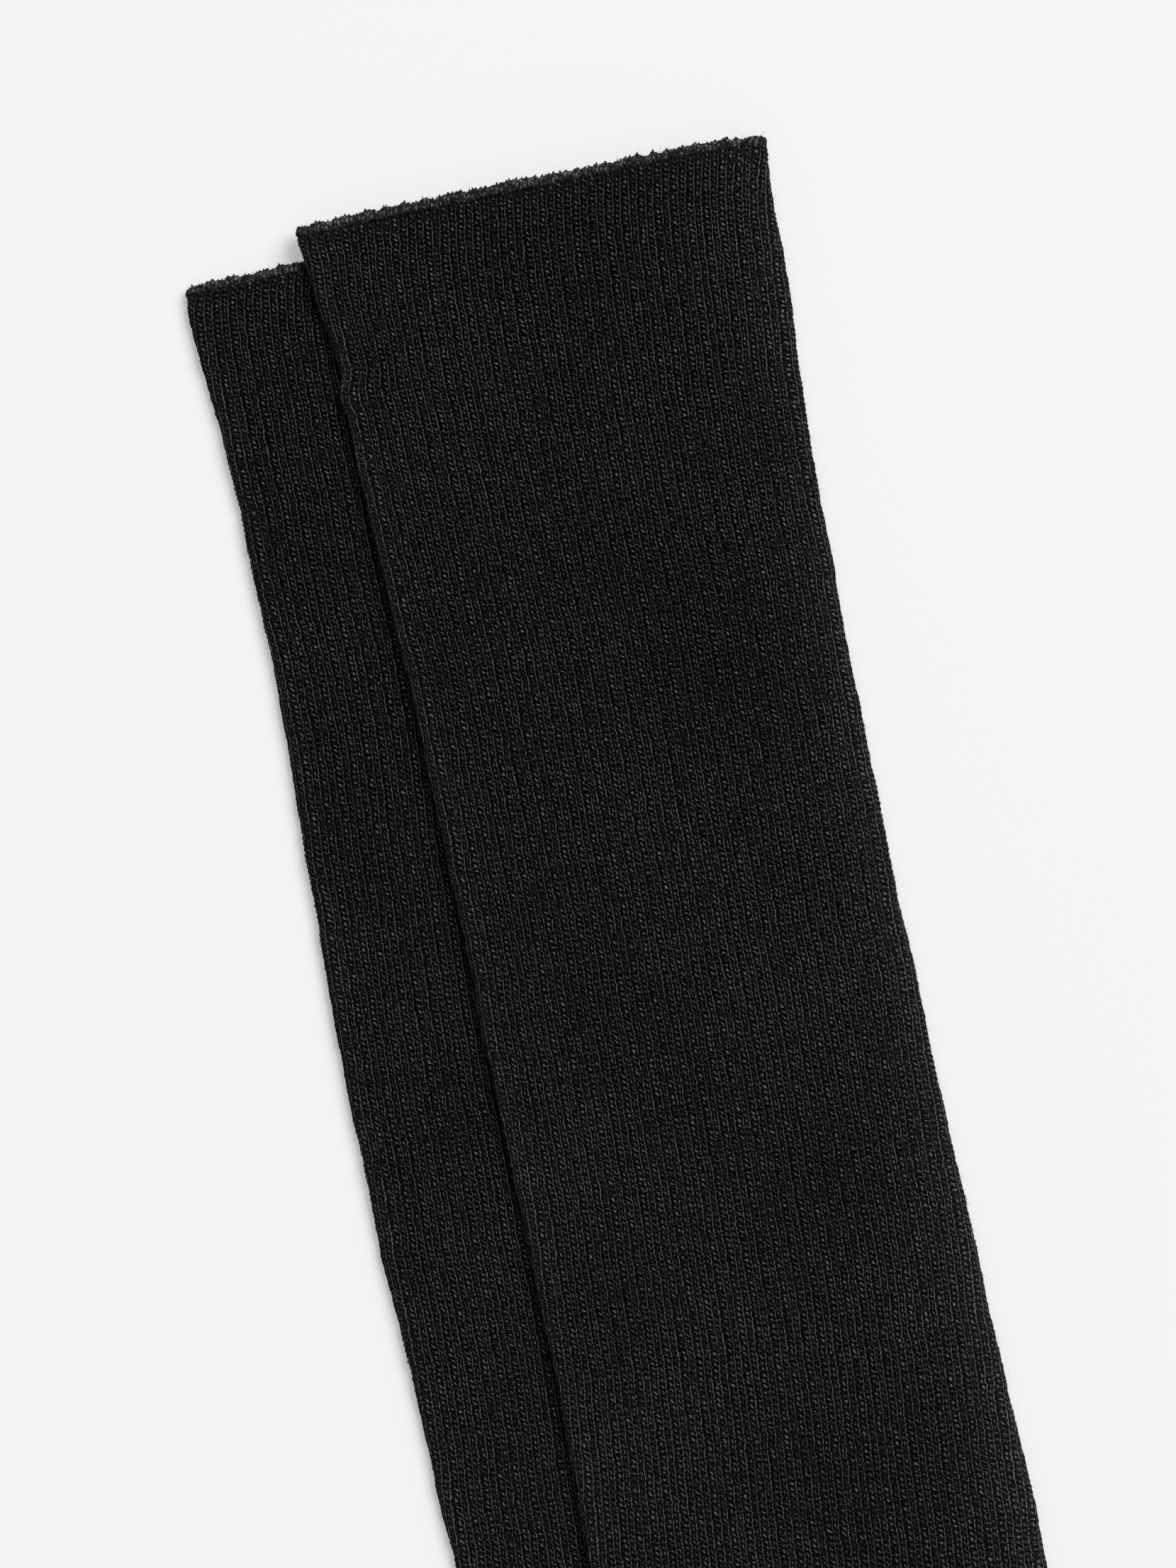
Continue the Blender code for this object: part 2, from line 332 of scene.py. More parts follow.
@dataclass(frozen=True)
class SockPlan:
    """Sizes of the flat sock's outline."""

    leg_length: float = 335.0
    turn_length: float = 100.0  # round the middle of the ankle
    foot_turn: float = math.radians(65)
    bend_radius: float = 45.0
    heel_sharpness: float = 10.0
    heel_bulge: float = 5.0
    toe_start: float = 92.0
    foot_length: float = 140.0
    toe_roundness: float = 2.4
    far: float = 1000.0  # distance to the tip where the toe isn't near
    leg_steps: int = 268
    turn_steps: int = 120
    foot_steps: int = 70
    toe_steps: int = 160

    @property
    def turn_end(self) -> float:
        """Station where the foot starts."""
        return self.leg_length + self.turn_length

    @property
    def whole_length(self) -> float:
        """Station of the toe's tip."""
        return self.turn_end + self.foot_length

    def before_tip(self, station: Array, length: float) -> Array:
        """Ease from 1 to 0 over the last length of the sock."""
        return smooth_step((self.whole_length - station) / length)

    def leg(self, down: Array) -> tuple[Array, Array]:
        """Fold points of the leg at distances down from the rim."""
        calf = read_rows(LEG_ROWS, "calf", down)
        shin = read_rows(LEG_ROWS, "shin", down)
        return np.stack([-calf, -down], -1), np.stack([shin, -down], -1)

    def ankle(self, turn: Array) -> tuple[Array, Array]:
        """Fold points on rays from the centre of the inside bend.

        Args:
            turn: Angles turned from the leg towards the foot.

        Returns:
            The heel-side and the instep-side fold points.
        """
        heel_end, instep_end = self.leg(np.array([self.leg_length]))
        from_leg = instep_end[0, 0] - heel_end[0, 0] + self.bend_radius
        from_foot = FOOT_ROWS[0].sole + FOOT_ROWS[0].instep + self.bend_radius
        calf = (np.cos(turn) / from_leg) ** self.heel_sharpness
        sole = (np.cos(self.foot_turn - turn) / from_foot) ** self.heel_sharpness
        bulge = self.heel_bulge * np.sin(math.pi * turn / self.foot_turn) ** 2
        reach = (calf + sole) ** (-1 / self.heel_sharpness) + bulge
        centre = instep_end[0] + np.array([self.bend_radius, 0.0])
        ray = np.stack([-np.cos(turn), -np.sin(turn)], -1)
        return centre + ray * reach[:, None], centre + ray * self.bend_radius

    def foot(self, along: Array) -> tuple[Array, Array]:
        """Fold points of the foot, narrowing round the toe.

        Args:
            along: Distances past the ankle.

        Returns:
            The sole-side and the instep-side fold points.
        """
        heel, instep = self.ankle(np.array([self.foot_turn]))
        across = unit(heel[0] - instep[0])
        forward = np.array([-across[1], across[0]])
        middle = instep[0] + across * FOOT_ROWS[0].instep + forward * along[:, None]
        past = np.maximum(along - self.toe_start, 0.0) / (self.foot_length - self.toe_start)
        narrow = (1 - past**self.toe_roundness) ** (1 / self.toe_roundness)
        sole = narrow * read_rows(FOOT_ROWS, "sole", along)
        top = narrow * read_rows(FOOT_ROWS, "instep", along)
        return middle + across * sole[:, None], middle - across * top[:, None]

    def sections(self) -> Sections:
        """Sections of the whole sock, closer together round the toe."""
        down = np.linspace(0, self.leg_length, self.leg_steps, endpoint=False)
        turned = np.linspace(0, 1, self.turn_steps, endpoint=False)
        straight = np.linspace(0, self.toe_start, self.foot_steps, endpoint=False)
        round_toe = np.sin(np.linspace(0, math.pi / 2, self.toe_steps))
        toe = self.toe_start + (self.foot_length - self.toe_start) * round_toe
        along = np.concatenate([straight, toe])
        leg, ankle, foot = self.leg(down), self.ankle(turned * self.foot_turn), self.foot(along)
        turning = self.leg_length + self.turn_length * turned
        station = np.concatenate([down, turning, self.turn_end + along])
        to_tip = np.where(station < self.turn_end, self.far, self.whole_length - station)
        heel, instep = (np.concatenate([leg[k], ankle[k], foot[k]]) for k in (0, 1))
        return Sections(station, heel, instep, to_tip)


@dataclass(frozen=True)
class Cloth:
    """The knitted cloth's thickness and how it folds and lies."""

    wall: float = 1.2
    mouth_gap: float = 0.6
    fold_reach: float = 3.0
    fold_share: float = 0.45  # most of the width that one fold may reach over
    least_reach: float = 0.01
    roll_proud: float = 0.15
    rest_gap: float = 0.25
    drape_start: float = 3.0
    drape_end: float = 15.0
    tuck_reach: float = 18.0  # from a fold to where its tuck has died away
    waver_lengths: tuple = (3.1, 5.3, 9.1, 16.0, 27.0, 46.0)
    waver_least: float = 0.025
    waver_slope: float = 0.002  # more wavering for each millimetre of its length
    waver_fade: float = 60.0  # of the toe, where the folds run smooth

    @property
    def stack(self) -> float:
        """Height of a flat sock."""
        return 2 * self.wall + self.mouth_gap


class Face(Enum):
    """The two faces of the tube's cloth."""

    OUTER = "outer"
    INNER = "inner"


@dataclass(frozen=True)
class Lay:
    """How one sock of the pair lies."""

    name: str
    rim_drop: float
    drift: tuple
    tuck: tuple  # how far the heel-side fold is drawn in
    rim: tuple
    creases: tuple
    shown_to: float  # part of the loop, from the heel-side fold, that shows from above
    seed: int


UPPER = Lay("upper_sock", 0.0, NO_SHIFT, UPPER_TUCK, UPPER_RIM, UPPER_CREASES, 0.5, 11)
LOWER = Lay("lower_sock", 6.0, LOWER_DRIFT, NO_SHIFT, LOWER_RIM, LOWER_CREASES, 0.17, 23)


@dataclass
class Tube:
    """A sock's tube of cloth where it lies: from a station and a part of the loop to a place."""

    plan: SockPlan
    cloth: Cloth
    lay: Lay
    shift: Array
    below: Array | None = None  # outline of the sock it lies on
    sections: Sections = field(init=False)

    def __post_init__(self) -> None:
        """Work the sections out once."""
        self.sections = self.plan.sections()

    def folds(self, station: Array) -> tuple[Array, Array, Array]:
        """Fold points where the sock lies, and the distance to the tip."""
        heel, instep, to_tip = self.sections.at(station)
        drift = read_rows(self.lay.drift, "shift", station)
        move = np.stack([drift, np.full_like(drift, -self.lay.rim_drop)], -1) + self.shift
        across = unit(instep - heel)
        heel, instep = (
            fold + move + across * self.wavering(station, k)[..., None]
            for k, fold in ((1, heel), (2, instep))
        )
        return heel, instep, to_tip

    def wavering(self, station: Array, side: int) -> Array:
        """Sideways wavering of one fold, in millimetres: slight, and less over short lengths."""
        rng = np.random.default_rng(10 * self.lay.seed + side)
        total = np.zeros(np.shape(station))
        for length in self.cloth.waver_lengths:
            size = self.cloth.waver_least + self.cloth.waver_slope * length
            total = total + size * np.sin(TAU * (station / length + rng.uniform()))
        return total * self.plan.before_tip(station, self.cloth.waver_fade)

    def outline(self, spacing: float = 5.0, toe_steps: int = 14) -> Array:
        """Plan outline: down the heel side and back up the instep side."""
        count = int(self.plan.whole_length / spacing)
        leg = np.linspace(0, self.plan.turn_end + self.plan.toe_start, count)
        toe_run = self.plan.foot_length - self.plan.toe_start
        toe = leg[-1] + toe_run * np.sin(np.linspace(0, math.pi / 2, toe_steps)[1:])
        heel, instep, _ = self.folds(np.concatenate([leg, toe]))
        return np.concatenate([heel, instep[::-1]])

    def loop_length(self, station: Array) -> Array:
        """Length of cloth round the tube."""
        heel, instep, _ = self.sections.at(station)
        width = np.linalg.norm(instep - heel, axis=-1)
        return 2 * self.half_loop(width, self.cloth.stack / 2, 0.0)[0]

    def half_loop(self, width: Array, half: float, inset: float) -> tuple[Array, Array, Array]:
        """Cloth over one layer of the flat tube.

        Args:
            width: Widths from fold to fold.
            half: Half of the height between the layers.
            inset: How far inside the outer face.

        Returns:
            The length from fold to fold, the length round half a fold, and the fold's reach.
        """
        reach = np.minimum(self.cloth.fold_reach, self.cloth.fold_share * width) - inset
        reach = np.maximum(reach, self.cloth.least_reach)
        root = np.sqrt((3 * reach + half) * (reach + 3 * half))
        quarter = math.pi / 4 * (3 * (reach + half) - root)
        return width - 2 * inset - 2 * reach + 2 * quarter, quarter, reach

    def ground(self, x: Array, y: Array) -> Array:
        """Height of what the sock lies on.

        Args:
            x: Places across.
            y: Places along.

        Returns:
            0 on the bare ground, rising to the top of the sock below and its rolled edge. Past
            that sock the cloth bends down ever more steeply, to lie on the ground at its own fold.
        """
        if self.below is None:
            return np.zeros_like(x)
        cloth = self.cloth
        below = closed_up(self.below)
        past = np.where(within(below, x, y), 0.0, away_from(below, x, y)) - cloth.drape_start
        past = np.maximum(past, 0.0)
        left = away_from(self.outline(), x, y)
        hang = (past / np.maximum(past + left, TINY)) ** 2
        hang = np.minimum(hang, smooth_step(past / (cloth.drape_end - cloth.drape_start)))
        return (cloth.stack + cloth.roll_proud + cloth.rest_gap) * (1 - hang)

    def points(self, station: Array, part: Array, face: Face, sink: float = 0.0) -> Array:
        """Places on one face of the cloth.

        Args:
            station: Distances from the rim along the sock.
            part: Parts of the loop: 0 at the heel-side fold, 0.5 at the instep-side fold.
            face: The outer or the inner face.
            sink: How far under that face, into the cloth.

        Returns:
            The places, with a last axis of x, y and z.
        """
        cloth = self.cloth
        half = cloth.stack / 2 - sink if face is Face.OUTER else cloth.mouth_gap / 2
        inset = sink if face is Face.OUTER else cloth.wall
        heel, instep, to_tip = self.folds(station)
        across = unit(instep - heel)
        width = np.linalg.norm(instep - heel, axis=-1)
        length, quarter, reach = self.half_loop(width, half, inset)
        part = np.mod(part, 1.0)
        over = part <= 0.5
        gone = np.where(over, part, 1 - part) * 2 * length
        near = np.minimum(gone, length - gone)
        bend = np.clip(near / quarter, 0, 1) * math.pi / 2
        fold_place = reach * (1 - np.cos(bend))
        place = np.where(near < quarter, fold_place, reach + near - quarter)
        place = inset + np.where(gone <= length / 2, place, width - 2 * inset - place)
        tuck = read_rows(self.lay.tuck, "shift", station)
        place = place + tuck * (1 - smooth_step(place / cloth.tuck_reach))
        tip = round_off((to_tip - inset) / (cloth.fold_reach - inset))
        height = half * np.sin(bend) * tip * np.where(over, 1.0, -1.0)
        xy = heel + across * place[..., None]
        z = self.ground(xy[..., 0], xy[..., 1]) + cloth.stack / 2 + height
        return np.concatenate([xy, z[..., None]], -1)

    def across_at(self, station: Array, part: Array) -> Array:
        """Distance across from the leg's centre line, for a part of the loop."""
        heel, instep, _ = self.sections.at(station)
        share = 1 - np.abs(np.mod(part, 1.0) * 2 - 1)
        return heel[..., 0] + share * (instep[..., 0] - heel[..., 0])


# ---------------------------------------------------------------- the knitting


class ReliefColumn(NamedTuple):
    """A line of the stitch along a wale: where it is, and its height mid-course and between."""

    at: float
    crest: float
    trough: float


STITCH_COLUMNS = (
    ReliefColumn(0.0, -0.06, -0.08),
    ReliefColumn(0.33, 0.12, -0.07),
    ReliefColumn(0.55, -0.02, -0.06),
    ReliefColumn(0.74, 0.15, 0.09),
)


@dataclass
class Knitting:
    """Where the wales and courses of one sock run on its tube."""

    tube: Tube
    needles: int = 116
    sag: float = 2.0  # of a course at the middle of the face
    sag_skew: float = 1.45
    sag_in: float = 45.0  # from the rim until the courses sag fully
    sag_fade: float = 90.0  # of the toe, where the courses run straight again
    unevenness: float = 0.25  # of the courses, as a share of the wales' wander
    uneven_wales: float = 40.0  # between a bend of the wales and the courses' own
    uneven_courses: float = 1.3
    pair_shift: float = 0.08  # neighbouring wales draw together in pairs, in wales
    pair_middle: float = 0.72  # part of a wale that is shifted most
    wander_size: float = 0.04  # of a single wale, in wales
    wander_step: float = 7.0  # courses between its bends
    wander_in: float = 12.0  # courses from the rim until the wales wander fully
    wander_fade: float = 60.0
    drift_size: float = 0.16  # of neighbouring wales together, in millimetres
    drift_waves: int = 6
    drift_courses: float = 12.0  # of the shortest wave, in courses to a radian
    drift_longer: float = 7.0  # that each next wave is longer
    drift_beat: float = 41.0
    drift_level: float = 2.2  # of the waves' sum
    courses_kept: int = 520
    station_steps: int = 1200
    least_loop: float = 150.0  # round the toe the wales draw together and no longer wind
    _station: Array = field(init=False)
    _course: Array = field(init=False)
    _wander: Array = field(init=False)
    _waves: Array = field(init=False)

    def __post_init__(self) -> None:
        """Count the courses down the sock, and draw the wales' bends."""
        rng = np.random.default_rng(self.tube.lay.seed)
        self._station = np.linspace(0, self.tube.plan.whole_length, self.station_steps)
        pitch = read_rows(GAUGE_ROWS, "course", self._station)
        steps = np.diff(self._station) / ((pitch[1:] + pitch[:-1]) / 2)
        self._course = np.concatenate([[0.0], np.cumsum(steps)])
        knots = int(self.courses_kept / self.wander_step) + 3
        self._wander = rng.normal(size=(self.needles, knots))
        self._waves = rng.uniform(0, TAU, size=(self.drift_waves, 3))

    def course_at(self, station: float) -> float:
        """Courses from the rim to a station."""
        return float(np.interp(station, self._station, self._course))

    def station_at(self, course: Array) -> Array:
        """Stations of courses counted from the rim."""
        return np.interp(course, self._course, self._station)

    def drifting(self, wale: Array, course: Array) -> Array:
        """Slow sideways wander that neighbouring wales share, in millimetres."""
        total = np.zeros(np.broadcast(wale, course).shape)
        for k, (a, b, c) in enumerate(self._waves):
            around = TAU * (k % 3 + 1) * wale / self.needles
            down = course / (self.drift_courses + self.drift_longer * k)
            total = total + np.sin(around + down + a) * np.cos(course / self.drift_beat + b + c)
        return self.drift_size * total / self.drift_level

    def straying(self, wale: Array, course: Array) -> Array:
        """Sideways wander of single wales, in wales."""
        last = self._wander.shape[1] - 2.001
        knot = np.clip(course / self.wander_step, 0, last)
        low = knot.astype(int)
        t = smooth_step(knot - low)
        row = np.mod(wale.astype(int), self.needles)
        return self.wander_size * ((1 - t) * self._wander[row, low] + t * self._wander[row, low + 1])

    def lay(self, wale: Array, course: Array, station: Array) -> tuple[Array, Array]:
        """Where points of the knitting come to lie.

        Args:
            wale: Wales round the tube, with the part of a wale.
            course: Courses from the rim.
            station: The stations of those courses.

        Returns:
            The stations and the parts of the loop, with sag, winding and wander.
        """
        plan = self.tube.plan
        loop = np.maximum(self.tube.loop_length(station), self.least_loop)
        wound = read_rows(GAUGE_ROWS, "wound", station)
        settled = smooth_step(course / self.wander_in) * plan.before_tip(station, self.wander_fade)
        pairing = self.pair_shift * np.cos(math.pi * (wale - self.pair_middle))
        strayed = (pairing + self.straying(np.floor(wale), course)) * settled
        part = (wale + strayed) / self.needles
        part = part + (self.drifting(wale, course) * settled - wound) / loop
        share = 1 - np.abs(np.mod(part, 1.0) * 2 - 1)
        sagging = smooth_step(station / self.sag_in) * plan.before_tip(station, self.sag_fade)
        sag = self.sag * np.sin(math.pi * share**self.sag_skew) * sagging
        bends = self.drifting(wale + self.uneven_wales, course * self.uneven_courses)
        return station + sag + self.unevenness * bends * sagging, part


class Stretch(Enum):
    """The stretches that a sock is dressed in, from cuff to toe, with their starting stations."""

    CUFF = ("cuff", 1.0)
    CALF = ("calf", 74.0)
    SHIN = ("shin", 161.0)
    ANKLE = ("ankle", 248.0)
    HEEL = ("heel", 335.0)
    FOOT = ("foot", 435.0)
    TOE = ("toe", 527.0)

    @property
    def title(self) -> str:
        """The stretch's name."""
        return self.value[0]

    @property
    def start(self) -> float:
        """Its first station."""
        return self.value[1]

    @property
    def on_leg(self) -> bool:
        """Whether it is part of the leg, which has the full stitches and the loose fibres."""
        return self not in (Stretch.HEEL, Stretch.FOOT, Stretch.TOE)


@dataclass
class MeshParts:
    """Arrays of a mesh as it is put together."""

    points: list = field(default_factory=list)
    faces: list = field(default_factory=list)
    knit: list = field(default_factory=list)
    bake: list = field(default_factory=list)
    sharp: list = field(default_factory=list)
    painted_light: list = field(default_factory=list)
    count: int = 0

    def add_points(self, points: Array, painted_light: Array | None = None) -> Array:
        """Add a grid of points.

        Args:
            points: Their places.
            painted_light: How much painted light each point carries, below 0 for painted shade, 0 if none
                is given.

        Returns:
            Their numbers in the same grid.
        """
        flat = points.reshape(-1, 3)
        numbers = np.arange(self.count, self.count + len(flat)).reshape(points.shape[:-1])
        self.points.append(flat)
        self.painted_light.append(np.zeros(len(flat)) if painted_light is None else painted_light.ravel())
        self.count += len(flat)
        return numbers

    def add_faces(self, corners: Array, knit: Array, bake: Array, sharp: bool = False) -> None:
        """Add faces of equal corner counts.

        Args:
            corners: Point numbers, one row for each face.
            knit: Knit coordinates of each corner.
            bake: Texture coordinates of each corner.
            sharp: Whether the faces are flat, with hard edges round them.
        """
        self.faces.append(corners)
        self.knit.append(knit.reshape(-1, 2))
        self.bake.append(bake.reshape(-1, 2))
        self.sharp.append(sharp)

    def mesh(self, name: str) -> bpy.types.Mesh:
        """Make the mesh, in metres, with both of its texture maps.

        Args:
            name: The mesh's name.

        Returns:
            The new mesh.
        """
        data = bpy.data.meshes.new(name)
        points = np.concatenate(self.points) * MM
        loops = np.concatenate([corners.ravel() for corners in self.faces])
        totals = np.concatenate([np.full(len(c), c.shape[1]) for c in self.faces])
        starts = np.concatenate([[0], np.cumsum(totals)[:-1]])
        data.vertices.add(len(points))
        data.vertices.foreach_set("co", points.astype(np.float32).ravel())
        data.loops.add(len(loops))
        data.loops.foreach_set("vertex_index", loops.astype(np.int32))
        data.polygons.add(len(totals))
        data.polygons.foreach_set("loop_start", starts.astype(np.int32))
        data.polygons.foreach_set("loop_total", totals.astype(np.int32))
        for title, values in ((BAKE_MAP, self.bake), (KNIT_MAP, self.knit)):
            layer = data.uv_layers.new(name=title)
            layer.uv.foreach_set("vector", np.concatenate(values).astype(np.float32).ravel())
        painted_light = data.attributes.new(PAINTED_LIGHT, "FLOAT", "POINT")
        painted_light.data.foreach_set("value", np.concatenate(self.painted_light).astype(np.float32))
        data.update(calc_edges=True)
        data.validate()
        pairs = zip(self.faces, self.sharp, strict=True)
        smooth = np.concatenate([np.full(len(corners), not sharp) for corners, sharp in pairs])
        if len(smooth) == len(data.polygons):
            data.polygons.foreach_set("use_smooth", smooth)
        data.set_sharp_from_angle(angle=SHARP)
        data.uv_layers.active = data.uv_layers[KNIT_MAP]
        return data


def quads(grid: Array) -> Array:
    """Corners of the quads of a grid.

    Args:
        grid: A grid of point numbers, or of texture coordinates.

    Returns:
        One row for each quad between the grid's rows and columns, with its four corners' values.
    """
    corners = (grid[:-1, :-1], grid[1:, :-1], grid[1:, 1:], grid[:-1, 1:])
    return np.stack(corners, 2).reshape(-1, 4, *grid.shape[2:])


def box_corners(left: Array, right: Array, low: Array, high: Array) -> Array:
    """Texture corners of upright boxes, in the order that quads gives."""
    pairs = ((left, low), (left, high), (right, high), (right, low))
    return np.stack([np.stack(pair, -1) for pair in pairs], -2).reshape(-1, 4, 2)


def knit_corners(wale: Array, course: Array) -> Array:
    """Knit coordinates at the corners of a grid of columns in wales and rows in courses."""
    return quads(np.stack(np.meshgrid(wale, course), -1))


def grid_normals(points: Array) -> Array:
    """Unit normals of a grid of points that closes on itself round the tube."""
    round_it = np.roll(points, -1, axis=1) - np.roll(points, 1, axis=1)
    return unit(np.cross(np.gradient(points, axis=0), round_it))


def add_piece(data: bpy.types.Mesh, finish: bpy.types.Material, replaced: str = "") -> bpy.types.Object:
    """Put a mesh in the scene as a piece of the pair.

    Args:
        data: The mesh.
        finish: Its material.
        replaced: Name of the solid that it replaces, if it replaces one.

    Returns:
        The new piece.
    """
    data.materials.append(finish)
    piece = bpy.data.objects.new(data.name, data)
    bpy.context.scene.collection.objects.link(piece)
    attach(piece, BODY)
    if replaced:
        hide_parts(replaced)
    LOG.info("%s: %d faces", piece.name, len(data.polygons))
    return piece


@dataclass
class SockShell:
    """The cloth of one sock, as stretches of thin shell with stitches in relief."""

    tube: Tube
    knitting: Knitting
    fine_margin: float = 3.5  # of the loop past what shows, in millimetres
    coarse_step: int = 3  # wales to a column where the cloth is hidden
    foot_course: float = 1.8  # courses to a row on the foot
    foot_relief: float = 0.6  # of the leg's relief
    heel_rows: int = 64
    toe_rows: int = 44
    least_courses: float = 20.0  # on a wale of the heel
    inner_spacing: float = 6.0
    end_clear: float = 0.05  # from the toe's tip to the last loop
    inner_end_clear: float = 3.2
    stitch_uneven: float = 0.035
    turned_under: float = 0.85  # a face that points down as much as this has no relief
    turned_fade: float = 0.5
    inner_press: float = 0.6  # of a crease's depth
    leg_share: float = 0.22  # spread from the painted shade high on the leg to the painted light low down
    leg_start: float = 20.0
    leg_run: float = 280.0
    leg_middle: float = 0.55
    shin_band: float = 4.8  # width of the painted light along the folds, in millimetres
    shin_share: float = 0.68
    shin_more: float = 0.26  # that comes on down the leg
    shin_run: float = 250.0
    heel_band: float = 3.0
    heel_share: float = 0.85
    rim_band: float = 3.0
    rim_share: float = 0.45
    outer_top: float = 0.9  # share of the bake map for the outer face
    inner_top: float = 0.985  # and above it the inner face, the two ends and the closed toe
    end_levels: tuple = (0.988, 0.994, 0.997)
    end_high: float = 0.003
    bake_gap: float = 0.002  # round each part of the bake map
    bake_side: float = 0.001
    bake_width: float = 0.998
    inner_gap: float = 0.006
    cap_wales: float = 4.0  # across the face that closes the toe
    loop_steps: int = 60  # that a stretch's loops are measured in
    turn_steps: int = 80  # and the heel's turn

    def rows(self, stretch: Stretch) -> tuple[Array, Array]:
        """Courses and stations of a stretch's rows.

        Args:
            stretch: Which stretch.

        Returns:
            The course count and the station of each row.
        """
        order = list(Stretch)
        k = order.index(stretch)
        knitting, plan = self.knitting, self.tube.plan
        start = stretch.start
        end = order[k + 1].start if k + 1 < len(order) else plan.whole_length - self.end_clear
        first = round(knitting.course_at(start)) if k else 1
        last = round(knitting.course_at(end))
        if stretch is Stretch.HEEL:
            station = np.linspace(knitting.station_at(first), end, self.heel_rows)
            return np.linspace(first, last, self.heel_rows), station
        if stretch is Stretch.TOE:
            round_toe = np.sin(np.linspace(0, math.pi / 2, self.toe_rows))
            return first + (last - first) * round_toe, start + (end - start) * round_toe
        if stretch is Stretch.FOOT:
            count = int((last - first) / self.foot_course)
            return np.linspace(first, last, count), np.linspace(start, end, count)
        course = np.arange(2 * first, 2 * last + 1) / 2
        return course, knitting.station_at(course)

    def columns(self, station: Array) -> tuple[Array, int]:
        """Columns round the tube: four to a wale where it shows, fewer where it doesn't.

        Args:
            station: The stations of the stretch's rows.

        Returns:
            The columns in wales, from the first one round to the same one again, and how many
            fine wales they start with.
        """
        needles = self.knitting.needles
        loop = np.maximum(self.tube.loop_length(station), self.knitting.least_loop)
        wound = read_rows(GAUGE_ROWS, "wound", station) / loop
        margin = self.fine_margin / loop
        low = math.floor(needles * float((wound - margin).min()))
        high = math.ceil(needles * float((wound + margin).max() + self.tube.lay.shown_to))
        fine = [low + k + column.at for k in range(high - low) for column in STITCH_COLUMNS]
        coarse = list(np.arange(high, low + needles, self.coarse_step, dtype=float))
        return np.array(fine + coarse + [low + needles]), high - low

    def relief(self, wale: Array, course: Array, fine_to: float, seed: int) -> Array:
        """Height of the stitches.

        Args:
            wale: Column places in wales, one row.
            course: Row places in courses, one column.
            fine_to: The wale where the fine columns end.
            seed: Start of the random draws.

        Returns:
            Height above the cloth's plain face, in millimetres.
        """
        at = np.mod(wale, 1.0)
        places = [column.at for column in STITCH_COLUMNS]
        crest = np.interp(at, places, [column.crest for column in STITCH_COLUMNS])
        trough = np.interp(at, places, [column.trough for column in STITCH_COLUMNS])
        mid = 0.5 - 0.5 * np.cos(TAU * course)
        height = trough + (crest - trough) * mid
        uneven = np.random.default_rng(seed).normal(0, self.stitch_uneven, size=height.shape)
        return np.where((wale < fine_to) & (wale > wale[..., :1]), height + uneven * (at > 0), 0.0)

    def creases(self, station: Array, part: Array) -> Array:
        """Depth of the soft troughs pressed into the upper face."""
        across = self.tube.across_at(station, part)
        total = np.zeros(station.shape)
        for row in self.tube.lay.creases:
            lean = math.radians(row.lean)
            down, side = station - row.down, across - row.across
            along = down * math.cos(lean) + side * math.sin(lean)
            over = side * math.cos(lean) - down * math.sin(lean)
            total += row.depth * np.exp(-((2 * along / row.length) ** 2) - (2 * over / row.width) ** 2)
        return total

    def painted_light(self, station: Array, part: Array) -> Array:
        """Painted light and shade: painted light along both folds, most down the shin side, which rounds
        towards the lamp, painted light under the rim, and painted shade high on the leg that turns to
        painted light low down.
        """
        loop = self.tube.loop_length(station)
        part = np.mod(part, 1.0)
        from_shin = np.abs(part - 0.5) * loop / self.shin_band
        from_heel = np.minimum(part, 1 - part) * loop / self.heel_band
        share = self.shin_share + self.shin_more * smooth_step(station / self.shin_run)
        leg = self.leg_share * (smooth_step((station - self.leg_start) / self.leg_run) - self.leg_middle)
        rim = self.rim_share * np.exp(-((station / self.rim_band) ** 2))
        return leg + share * np.exp(-from_shin) + rim + self.heel_share * np.exp(-(from_heel**2))

    def build_stretch(self, stretch: Stretch, finish: bpy.types.Material) -> bpy.types.Object:
        """Build one stretch as a closed thin shell.

        Args:
            stretch: Which stretch.
            finish: The knitted wool.

        Returns:
            The new piece.
        """
        course, station = self.rows(stretch)
        wale, fine = self.columns(station)
        first = wale[0]
        wales, courses = np.meshgrid(wale[:-1], course)
        stations = np.broadcast_to(station[:, None], wales.shape)
        laid, part = self.knitting.lay(wales, courses, stations)
        laid = np.minimum(laid, self.tube.plan.whole_length - self.end_clear)
        outer = self.tube.points(laid, part, Face.OUTER)
        normal = grid_normals(outer)
        up = np.clip((normal[..., 2] + self.turned_under) / self.turned_fade, 0, 1)
        seed = self.tube.lay.seed * 100 + list(Stretch).index(stretch)
        height = self.relief(wales, courses, first + fine, seed) * up
        if not stretch.on_leg:
            height = height * self.foot_relief
        fade = smooth_step(self.tube.loop_length(stations) / self.knitting.least_loop)
        outer = outer + normal * ((height * fade)[..., None])
        outer[..., 2] -= self.creases(laid, part) * np.clip(normal[..., 2], 0, 1) ** 2
        outer[..., 2] = np.maximum(outer[..., 2], 0.0)

        parts = MeshParts()
        # The outer face's points carry the painted light and shade.
        numbers = parts.add_points(outer, self.painted_light(laid, part))
        knit = knit_corners(wale, course)
        if stretch is Stretch.HEEL:
            knit[..., 1] = self.heel_courses(outer, wale, course)
        parts.add_faces(quads(closed_up(numbers, 1)), knit, self.bake_corners(wale - first, len(course)))
        self.add_inner(parts, stretch, wale, course, station, numbers)
        name = self.tube.lay.name
        return add_piece(parts.mesh(f"{name}_{stretch.title}"), finish, name)

